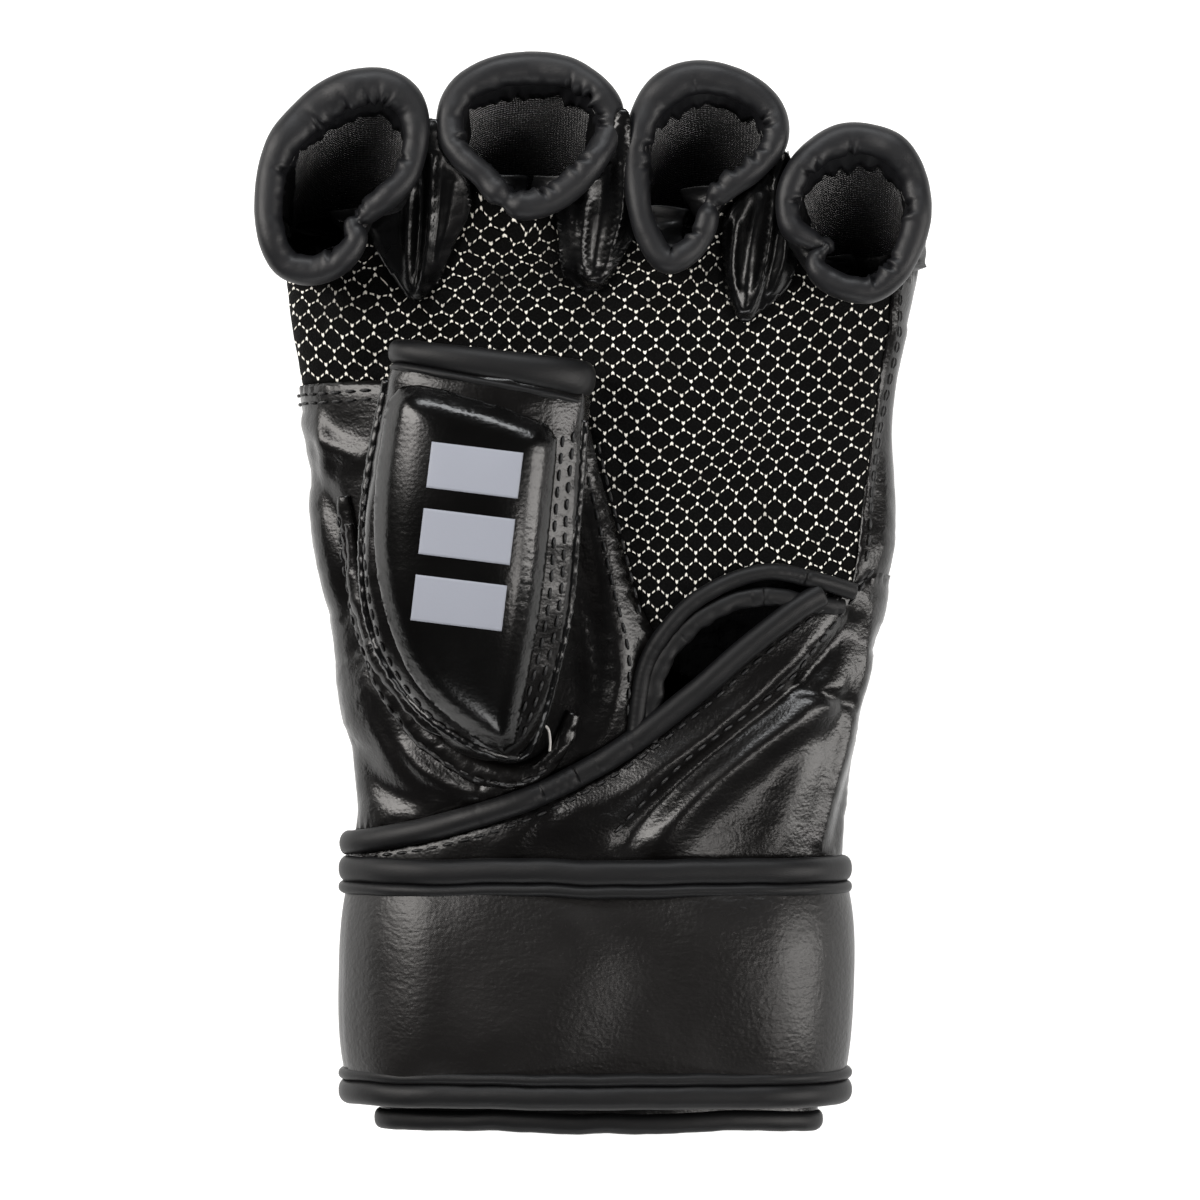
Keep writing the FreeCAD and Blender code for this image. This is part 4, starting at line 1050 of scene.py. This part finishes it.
a = np.radians(np.linspace(0, 360, ROUND, endpoint=False))
rings = [sheath(a, v, lift) for v, lift in
         [(-2.0, -4), (-1.6, -1.5), (0, 0), *[(v, 0) for v in np.arange(3, 82, 3)], (83, -0.4)]]
rings += [bore(a, v) for v in [83.4, *np.arange(80, 14, -4), 14]]
verts = np.concatenate(rings)
faces = grid_faces(len(rings), ROUND, False, True)
faces += [tuple(range(ROUND - 1, -1, -1)), tuple(range(len(verts) - ROUND, len(verts)))]
sheath_body = make_closed("thumb_sheath", (verts, faces), LEATHER, None,
                          ["thumb_cover", "thumb_palm_panel", "thumb_foam"], "leather")
puff(sheath_body, voxel=2.6, pressure=3.0, cap=0.8)


def sheath_folds(p):
    uv = thumb_plan(p)
    side = np.clip((p[:, 2] - 52) / 10, 0, 1)
    lift = 0.22 * noise(p, 22, 41, 2) + 0.06 * noise(p, 6, 42, 2)
    for points, width, height in (
            ([(19, 70), (20, 45), (20, 20), (16, 4)], 1.3, 0.8),
            ([(-22.8, 72), (-23.6, 48), (-21.5, 30), (-15, 14), (-4, 2)], 1.5, 1.0),
            ([(-20.4, 76), (-21, 50), (-18.6, 32), (-12, 18), (-1, 6)], 1.3, -0.9)):
        lift += side * ridge(uv, points, width, height)
    return lift + 0.08 * side * noise(uv * [0.4, 1], 2.6, 43, 2) * (np.abs(uv[:, 0] - 1) > 16)


roughen(sheath_body, sheath_folds)
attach(sheath_body, "thumb")

a = np.radians(np.linspace(0, 360, 60))[:, None]
v = np.linspace(15, 83, 40)[None, :]
lining("thumb_lining_cloth", bore(a, v, -0.4), a * 11, v, "thumb", ["thumb_lining"], 0.6)

# raised pad
PAD_EDGE = [(-42.4, 45.2), (-47, 32), (-48.4, 13), (-46.6, -1.3), (-41.6, -15.6), (-32.6, -26.6), (-19.4, -35),
            (-15.6, -23.6), (-11.6, -1.3), (-9.2, 20.9), (-8.2, 34.4), (-11, 37.2), (-24, 42)]
rim = thumb_plan(outline(curve(PAD_EDGE, 48, closed=True), 200))
flat, tri = fill(rim, 1.5)
u, v = flat.T
near = nearest(flat, rim)
crown = 3.3 * (1 - np.exp(-((near / 2.6) ** 1.5))) + 0.9 * smoothstep(near / 15)
level = SHEATH_MID(v) + SHEATH_RISE(v) * (0.96 - 0.3 * ((u + 2) / 22) ** 4)
n, m = len(flat), len(rim)
faces = tri + [tuple(i + n for i in f[::-1]) for f in tri]
faces += [(i, (i + 1) % m, n + (i + 1) % m, n + i) for i in range(m)]
verts = np.concatenate([thumb_world(u, v, level + 0.4 + crown), thumb_world(u, v, level - 0.9)])
pad = make_closed("thumb_pad", (verts, faces), SMOOTH, None, ["thumb_pad_cover"], "leather")
puff(pad, voxel=0, pressure=2.0, cap=0.5)


def pad_folds(p):
    uv = thumb_plan(p)
    edge = np.exp(-(((nearest(uv, rim[::3]) - 2.2) / 2.2) ** 2))
    return 0.15 * noise(uv, 40, 51, 1) + 0.045 * edge * noise(uv * [0.25, 1], 1.9, 52, 2)


roughen(pad, pad_folds)
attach(pad, "thumb")


def laid_on(obj, xy, lift):
    """Plan places laid on a mesh's upper side."""
    tree = BVHTree.FromPolygons([v.co for v in obj.data.vertices], [list(q.vertices) for q in obj.data.polygons])
    hits = [tree.ray_cast(Vector((x, y, 0.2)), Vector((0, 0, -1)))[0] for x, y in xy * MM]
    z = np.array([hit.z / MM if hit else np.nan for hit in hits])
    bad = np.isnan(z)
    if bad.any():
        z[bad] = np.interp(np.flatnonzero(bad), np.flatnonzero(~bad), z[~bad])
    return np.concatenate([xy, z[:, None] + lift], 1)


# The print: three plain bars across the pad, each from a place along it.
BARS, BAR_ENDS, BAR_WIDTH = (27, 41.5, 56), (-12.5, 7.5), 10
bars = []
for start in BARS:
    gu, gv = np.meshgrid(np.linspace(*BAR_ENDS, 40), np.linspace(start, start + BAR_WIDTH, 20), indexing="ij")
    up = laid_on(pad, thumb_world(gu, gv, 0)[..., :2].reshape(-1, 2), 0.14).reshape(40, 20, 3)
    bars.append(closed_form(up, up - [0, 0, 0.3]))
make_closed("thumb_bars", joined(bars), PRINT, "thumb", ["thumb_print"], "print")

# the band round the sheath's open end, with a cord beside it
a = np.radians(np.linspace(0, 360, 160, endpoint=False))
u = -1.9 + 20.6 * bulged(np.sin(a), 0.85)
v = 84.4 - 0.03 * u
z = SHEATH_MID(82) + 9.0 * bulged(np.cos(a), 0.85)
path = thumb_world(u, v, z)
away = thumb_world(u + np.sin(a) * 5, v, z + np.cos(a) * 5) - path
wide = 3.3 + 0.9 * np.sin(a) * np.clip(np.cos(a) + 0.6, 0, 1)
end_band = tube(path, away, wide, 2.4, closed=True, sides=24, power=0.9, wrinkle=pucker(61, 0.06, 9))
cord = tube(thumb_world(u, v - wide - 0.9, z + 0.5 * np.cos(a)), away, 1.0, 1.7, closed=True, sides=12,
            wrinkle=pucker(62, 0.12, 4))
make("thumb_band", joined([end_band, cord]), BINDING, "thumb", ["thumb_binding"], "binding")

for k, points in enumerate((
        [(-4.4, 36), (-6, 20), (-7.6, -2), (-11.4, -19), (-16.6, -33)],
        [(-6.8, 35), (-8.3, 20), (-10, -2), (-13.6, -19), (-18, -32)],
        [(-46.6, 40), (-49.6, 26), (-50.6, 12), (-49, -4), (-44.5, -16), (-36, -27), (-24, -35)])):
    stitch_row(f"thumb_stitches_{k}", laid_on(sheath_body, curve(points, 120), 0.15), "thumb")
p = curve([(-45.4, 47), (-48.2, 34), (-50.6, 18), (-50.6, 0), (-47, -13), (-39.4, -24.4), (-28, -32.6),
           (-17.6, -36), (-13, -31), (-9.4, -20), (-5.6, -2), (-3.9, 18), (-2.4, 38)], 260)
p = laid_on(sheath_body, p, -0.3)
for _ in range(3):
    p[1:-1, 2] = (p[:-2, 2] + 2 * p[1:-1, 2] + p[2:, 2]) / 4


def crimp(s, a):
    return 0.18 * noise(np.stack(np.broadcast_arrays(s, a * 0.6), -1), 2.2, 63, 2)


make("thumb_seam", tube(p, (0, 0, 1), 1.15, 0.9, sides=14, wrinkle=crimp), WEB, "thumb", slot="leather")

# the gusset's fold round the thumb's base
fade = np.sin(np.pi * np.linspace(0.03, 0.97, 160)) ** 0.35
rolls = [palm_roll([(-55.6, 22), (-53.4, 6), (-49.4, -9), (-41, -26), (-29.6, -36.6), (-18, -40.4), (-9, -35.6),
                    (-5, -26)], 160, 1.3, 3.3 * fade, 1.9 * fade, wrinkle=pucker(71, 0.3, 6)),
         palm_roll([(-53.6, 16), (-51.4, 0), (-45.6, -15), (-36, -27.6), (-30, -32)], 160, 2.6, 2.5 * fade,
                   2.0 * fade, wrinkle=pucker(72, 0.3, 6))]
fold = make("thumb_fold", joined(rolls), LEATHER, None, ["thumb_base_fold"], "leather")
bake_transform(fold)
p, n = on_palm([(-56.6, 18), (-54.6, 4), (-50.6, -11), (-42, -28), (-30, -38.4), (-18, -42), (-8, -37)], 120, 2.6)
stitches = stitch_row("fold_stitches", p, None, n)
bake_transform(stitches)
make("thread_end", palm_roll([(-11.6, -28.4), (-10.2, -29.6), (-9.8, -32.4), (-9.9, -34.6)], 20, 2.6, 0.3, 0.3, 8),
     PALE_THREAD, "thumb_root", slot="leather")

# ------------------------------------------------------------------ wrist


def arc(cx, cz, r, start, stop, count=40):
    a = np.radians(np.linspace(start, stop, count))
    out = np.stack([np.cos(a), np.sin(a)], 1)
    return [cx, cz] + r * out, out


def run(x0, x1, z, up):
    x = np.linspace(x0, x1, 40)
    return np.stack([x, np.full(40, z)], 1), np.tile([0.0, up], (40, 1))


def chain(*parts):
    """A path in the plane across the arm, with its outward ways, evenly spaced."""
    p, n = (np.concatenate(column) for column in zip(*parts))
    s = lengths(p)
    good = np.concatenate([[True], np.diff(s) > 1e-6])
    at = np.linspace(0, s[-1], int(s[-1] / 1.3))
    p, n = (sampled(column[good], s[good], at) for column in (p, n))
    return p, n / np.linalg.norm(n, axis=1)[:, None]


def crowned(path, height):
    """The strap's upper run arched a little over the wrist."""
    p, n = path
    p = p.copy()
    p[:, 1] += height * np.cos(np.clip(p[:, 0] / 56, -1, 1) * math.pi / 2) ** 2 * smoothstep((p[:, 1] - 26) / 12)
    p[:, 1] -= 1.2 * smoothstep((p[:, 1] - 26) / 12)
    ahead = np.gradient(p, axis=0)
    out = np.stack([-ahead[:, 1], ahead[:, 0]], 1)
    out *= np.sign((out * n).sum(1))[:, None]
    return p, out / np.linalg.norm(out, axis=1)[:, None]


STRAP_PATH = crowned(chain(run(-30, 37.8, 5.6, -1), arc(37.8, 24.3, 18.7, -90, 90), run(37.8, -35.8, 43, 1),
                           arc(-35.8, 22.3, 20.7, 90, 225)), 4.4)
TAIL_PATH = chain(arc(-35.8, 22.3, 20.7, 226, 270, 20), run(-35.8, 37, 1.6, -1))
LOW, HIGH = -107.5, -65.6  # the strap's edges, along the arm


def at_wrist(path, y, lift):
    """Points of a strap path at y, lifted outwards."""
    p, n = path
    q = p + n * np.broadcast_to(lift, (len(p),))[:, None]
    return np.stack([q[:, 0], np.broadcast_to(y, (len(p),)), q[:, 1]], 1)


# The strap's face: a shallow hollow down its middle, and swells beside it.
BILLOWS = (
    ([(4, -64), (10, -84), (2, -108)], 11, -1.5),
    ([(-30, -68), (-38, -84), (-44, -104)], 13, 1.0),
    ([(30, -76), (36, -92), (40, -106)], 13, 1.2),
)


BAND_THICK, BAND_ROWS, PATCH_THICK = 2.6, 46, 0.6


def band(name, path, body, stands, swell, seed):
    rows = []
    for s in np.linspace(0, 1, BAND_ROWS):
        y = LOW + (HIGH - LOW) * s
        q = at_wrist(path, y, 0)
        lift = swell * (1 - abs(2 * s - 1) ** 3.2)
        lift = lift + 0.6 * noise(q * [1, 1.4, 1], 70, seed, 1) + 0.05 * noise(q * [1, 0.6, 1], 14, seed + 1, 2)
        for points, width, height in BILLOWS:
            lift = lift + (q[:, 2] > 30) * ridge(q[:, :2], points, width, height, taper=False)
        rows.append(at_wrist(path, y, np.where(path[0][:, 1] < 8, np.minimum(lift, 0.2), lift)))
    inner = np.stack([at_wrist(path, y, -BAND_THICK) for y in np.linspace(LOW, HIGH, BAND_ROWS)], 1)
    make_closed(name, closed_form(np.stack(rows, 1), inner), STRAP, body, stands, "leather")


def strap_edge(name, path, body, stands, seed, *rolls):
    """Two rolls side by side: a broad one at the strap's edge and a thin cord next to it. Each is its
    place along the arm, its half sizes across and out, and its lift."""
    p, n = path
    out = np.stack([n[:, 0], 0 * n[:, 0], n[:, 1]], 1)
    wave = 0.22 * noise(p, 34, seed, 2)
    parts = [tube(at_wrist(path, y + wave, lift), out, wide, tall, sides=22, power=0.86,
                  wrinkle=pucker(seed + 1, 0.07, 9)) for y, wide, tall, lift in rolls]
    make(name, joined(parts), BINDING, body, stands, "binding")


band("strap_band", STRAP_PATH, "hand", ["strap_cover", "strap_core"], 1.5, 81)
strap_edge("strap_top_roll", STRAP_PATH, "hand", ["strap_top_binding"], 83,
           (-61.7, 3.0, 2.5, -1.2), (-65.8, 1.45, 1.9, -0.6))
strap_edge("strap_low_roll", STRAP_PATH, "hand", ["strap_low_binding"], 85,
           (-111.4, 2.8, 2.5, -1.2), (-107.5, 1.4, 1.9, -0.6))
band("tail_band", TAIL_PATH, "strap_tail", ["tail_cover", "tail_core"], 0.3, 87)
strap_edge("tail_top_roll", TAIL_PATH, "strap_tail", ["tail_top_binding"], 89,
           (-62.2, 2.9, 1.9, -1.3), (-66, 1.4, 1.5, -1.0))
strap_edge("tail_low_roll", TAIL_PATH, "strap_tail", ["tail_low_binding"], 91,
           (-111.2, 2.8, 1.9, -1.3), (-107.4, 1.4, 1.5, -1.0))
end_path = np.linspace((39.6, -113.6, 2.6), (39.6, -60.2, 2.6), 60)
make("tail_end_roll", tube(end_path, (0, 0, -1), 3.0, 1.9, sides=22, power=0.86, wrinkle=pucker(93, 0.1, 7)),
     BINDING, "strap_tail", ["tail_end_binding"], "binding")


def patch(name, material, slot, body, stands, x0, x1, z):
    gx, gy = np.meshgrid(np.linspace(x0, x1, 50), np.linspace(-105.5, -69.8, 30), indexing="ij")
    up = np.stack([gx, gy, z + PATCH_THICK + 0.08 * noise(np.stack([gx, gy], -1), 14, 95)], -1)
    make_closed(name, closed_form(up, up - [0, 0, PATCH_THICK]), material, body, stands, slot)


patch("loop_tape", LOOP, "loop", "hand", ["loop_patch"], -28, 33, 4.95)
patch("hook_tape", HOOK, "hook", "strap_tail", ["hook_patch"], -26, 35, 4.25)

# the cuff inside the strap
CUFF_X, CUFF_Z, CUFF_HALF, CUFF_RISE, CUFF_END = 0.8, 24.4, 49, 15, -117.6


def cuff_wall(turn, y, lift):
    r = np.radians(turn)
    x = CUFF_X + (CUFF_HALF + lift) * np.sin(r)
    z = CUFF_Z + (CUFF_RISE + lift) * np.cos(r)
    return np.stack(np.broadcast_arrays(x, y, z), -1)


turn = np.linspace(0, 360, 150)[:, None]
y = np.linspace(-119.4, -60.5, 50)[None, :]
soft = 0.35 * noise(cuff_wall(turn, y, 0), 22, 96)
cuff = closed_form(cuff_wall(turn, y, soft), cuff_wall(turn, y, -1.9), ends=False)
make_closed("cuff_wall", cuff, LEATHER, "hand", ["cuff"], "leather")
lining("cuff_cloth", cuff_wall(turn, y, -2.1), y, turn * 0.55, "hand", ["cuff_lining"], 0.8)
turn = np.linspace(0, 360, 260, endpoint=False)
path = cuff_wall(turn, CUFF_END, -0.4)
path[:, 1] += 0.3 * noise(path, 30, 97, 2)
r = np.radians(turn)
cuff_roll = tube(path, np.stack([np.sin(r), 0 * r, np.cos(r)], 1), 2.3, 1.9, closed=True, sides=20, power=0.86,
                 wrinkle=pucker(98, 0.1, 8))
make("cuff_roll", cuff_roll, BINDING, "hand", ["cuff_binding"], "binding")

# ------------------------------------------------------------------ the padded back

LEAN = math.tan(math.radians(38.5))
WRIST_Y = -60
QUILT_ROWS = ((56, 2.4), (22, 1.9), (-24, 1.6))


def hollow(turn, y, lift):
    """A point of the hand's inside."""
    a = np.radians(turn)
    return np.stack([0.8 + IN_HALF(y) * np.sin(a), y + 0 * a, IN_MID(y) + IN_RISE(y) * np.cos(a) + lift], -1)


def back_grid(surface, turns, shares, lift=0.0):
    """A grid over the back, from the wrist to the creases."""
    turns, shares = turns[:, None], shares[None, :]
    y = np.full((len(turns), shares.size), 40.0)
    for _ in range(12):
        x, _, z = np.moveaxis(surface(turns + 0 * y, y, lift), -1, 0)
        stop = np.clip(CREASE_Y(x) - 1.5 - (z - CREASE_Z(x)) * LEAN, 62, 104)
        y = WRIST_Y + (stop - WRIST_Y) * shares
    return surface(turns + 0 * y, y, lift)


def quilt_row(place, x):
    """The y of a row of the back's quilting at x."""
    return place + 5 * np.cos(x / 34)


turns = np.linspace(seam_turn(20.0) + 0.6, 360 - seam_turn(20.0) - 0.6, 90)
shares = np.linspace(0, 1, 60)
outer = back_grid(skin, turns, shares, lift=-0.2)
outer[..., 2] = np.maximum(outer[..., 2], 0.9)
back = make_closed("back_pad", closed_form(outer, back_grid(hollow, turns, shares)), SMOOTH, None,
                   ["back_cover", "back_foam"], "leather")
puff(back, voxel=4.0, pressure=4.0, cap=1.5, levels=2)


def back_quilting(p):
    x, y, z = p.T
    under = np.clip((12 - z) / 8, 0, 1)
    lift = 0.35 * noise(p, 30, 31, 2)
    for place, depth in QUILT_ROWS:
        lift -= under * depth * np.exp(-(((y - quilt_row(place, x)) / 2.2) ** 2))
    for place in (-36, 4, 42):
        lift -= under * 1.7 * np.exp(-(((x - place) / 2.0) ** 2)) * smoothstep((y - 52) / 8)
    return lift + 0.12 * noise(p, 6, 32, 2)


roughen(back, back_quilting)
p = places(back)
p[:, 2] = np.where(p[:, 2] < 1.0, 0.3 + 0.7 * np.exp((p[:, 2] - 1.0) / 0.7), p[:, 2])
move_to(back, p)
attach(back, "hand")

cloth = back_grid(hollow, np.linspace(84, 276, 80), np.linspace(0, 0.995, 90), lift=0.35)
lining("back_lining_cloth", cloth, cloth[..., 0], cloth[..., 1], "hand", ["back_lining"], 0.8)
for k, (place, _) in enumerate(QUILT_ROWS):
    x = np.linspace(-44, 45, 80)
    y = quilt_row(place, x)
    z = np.array([p[np.hypot(p[:, 0] - a, p[:, 1] - b) < 2.5, 2].min() for a, b in zip(x, y)])
    z = np.convolve(np.pad(z, 4, mode="edge"), np.full(9, 1 / 9), mode="valid")
    stitch_row(f"back_stitches_{k}", np.stack([x, y, z + 0.5], 1), "hand", (0, 0, -1), lift=-0.2)

# ------------------------------------------------------------------ stage, camera and light

FLOOR_HALF, FLOOR_Z = 3, -0.0005


def add(name, data):
    obj = bpy.data.objects.new(name, data)
    bpy.context.scene.collection.objects.link(obj)
    return obj


floor_mesh = bpy.data.meshes.new("floor")
floor_mesh.from_pydata([(x * FLOOR_HALF, y * FLOOR_HALF, FLOOR_Z) for x, y in ((-1, -1), (1, -1), (1, 1), (-1, 1))],
                       [], [(0, 1, 2, 3)])
floor = add("floor", floor_mesh)
# The floor is pale from above and clear from below.
s = Shader("floor_pale", (0.6, 0.6, 0.6), 0.9,
           {"Specular IOR Level": 0.1, "Emission Color": (1, 1, 0.99, 1), "Emission Strength": 0.8})
below = s.node("NewGeometry").outputs["Backfacing"]
either = s.node("MixShader", {"Fac": below, 1: s.skin.outputs[0], 2: s.node("BsdfTransparent").outputs[0]})
s.feed(s.tree.nodes["Material Output"], {"Surface": either.outputs[0]})
floor_mesh.materials.append(s.material)

world = bpy.data.worlds.new("studio")
bpy.context.scene.world = world
world.use_nodes = True
background = world.node_tree.nodes["Background"].inputs
background["Color"].default_value = (0.93, 0.95, 1.0, 1)
background["Strength"].default_value = 0.05


# Soft lights that look at the glove: place, width, height, power and tint.
GLOVE = Vector((0, 0, 0.03))
for name, place, width, height, power, tint in (
        ("key", (-0.85, 0.35, 0.72), 0.42, 0.9, 13, (1.0, 0.965, 0.93)),
        ("fill", (0.95, -0.1, 0.66), 0.32, 0.9, 8, (1.0, 0.97, 0.94)),
        ("top", (0.05, 1.0, 0.75), 0.8, 0.3, 8, (0.96, 0.98, 1.0)),
        ("low", (0.0, -1.1, 0.6), 0.8, 0.3, 4, (1, 1, 1)),
        ("high_left", (-0.52, 0.34, 1.12), 0.2, 0.3, 1.1, (1.0, 0.97, 0.95)),
        ("high_right", (0.52, -0.3, 1.12), 0.2, 0.3, 1.5, (1.0, 0.96, 0.93))):
    lamp = bpy.data.lights.new(name, "AREA")
    lamp.shape = "RECTANGLE"
    lamp.size, lamp.size_y = width, height
    lamp.energy = power
    lamp.color = tint
    box = add(name, lamp)
    box.location = place
    box.rotation_euler = (GLOVE - Vector(place)).to_track_quat("-Z", "Y").to_euler()

camera_data = bpy.data.cameras.new("camera")
camera_data.sensor_width = 36
camera_data.lens = 175.5
camera = add("camera", camera_data)
camera.location = (0.0011, -0.0013, 1.34)
camera.rotation_euler = (0, 0, 0)
bpy.context.scene.camera = camera
bpy.context.scene.view_settings.view_transform = "Standard"
bpy.context.scene.view_settings.look = "None"
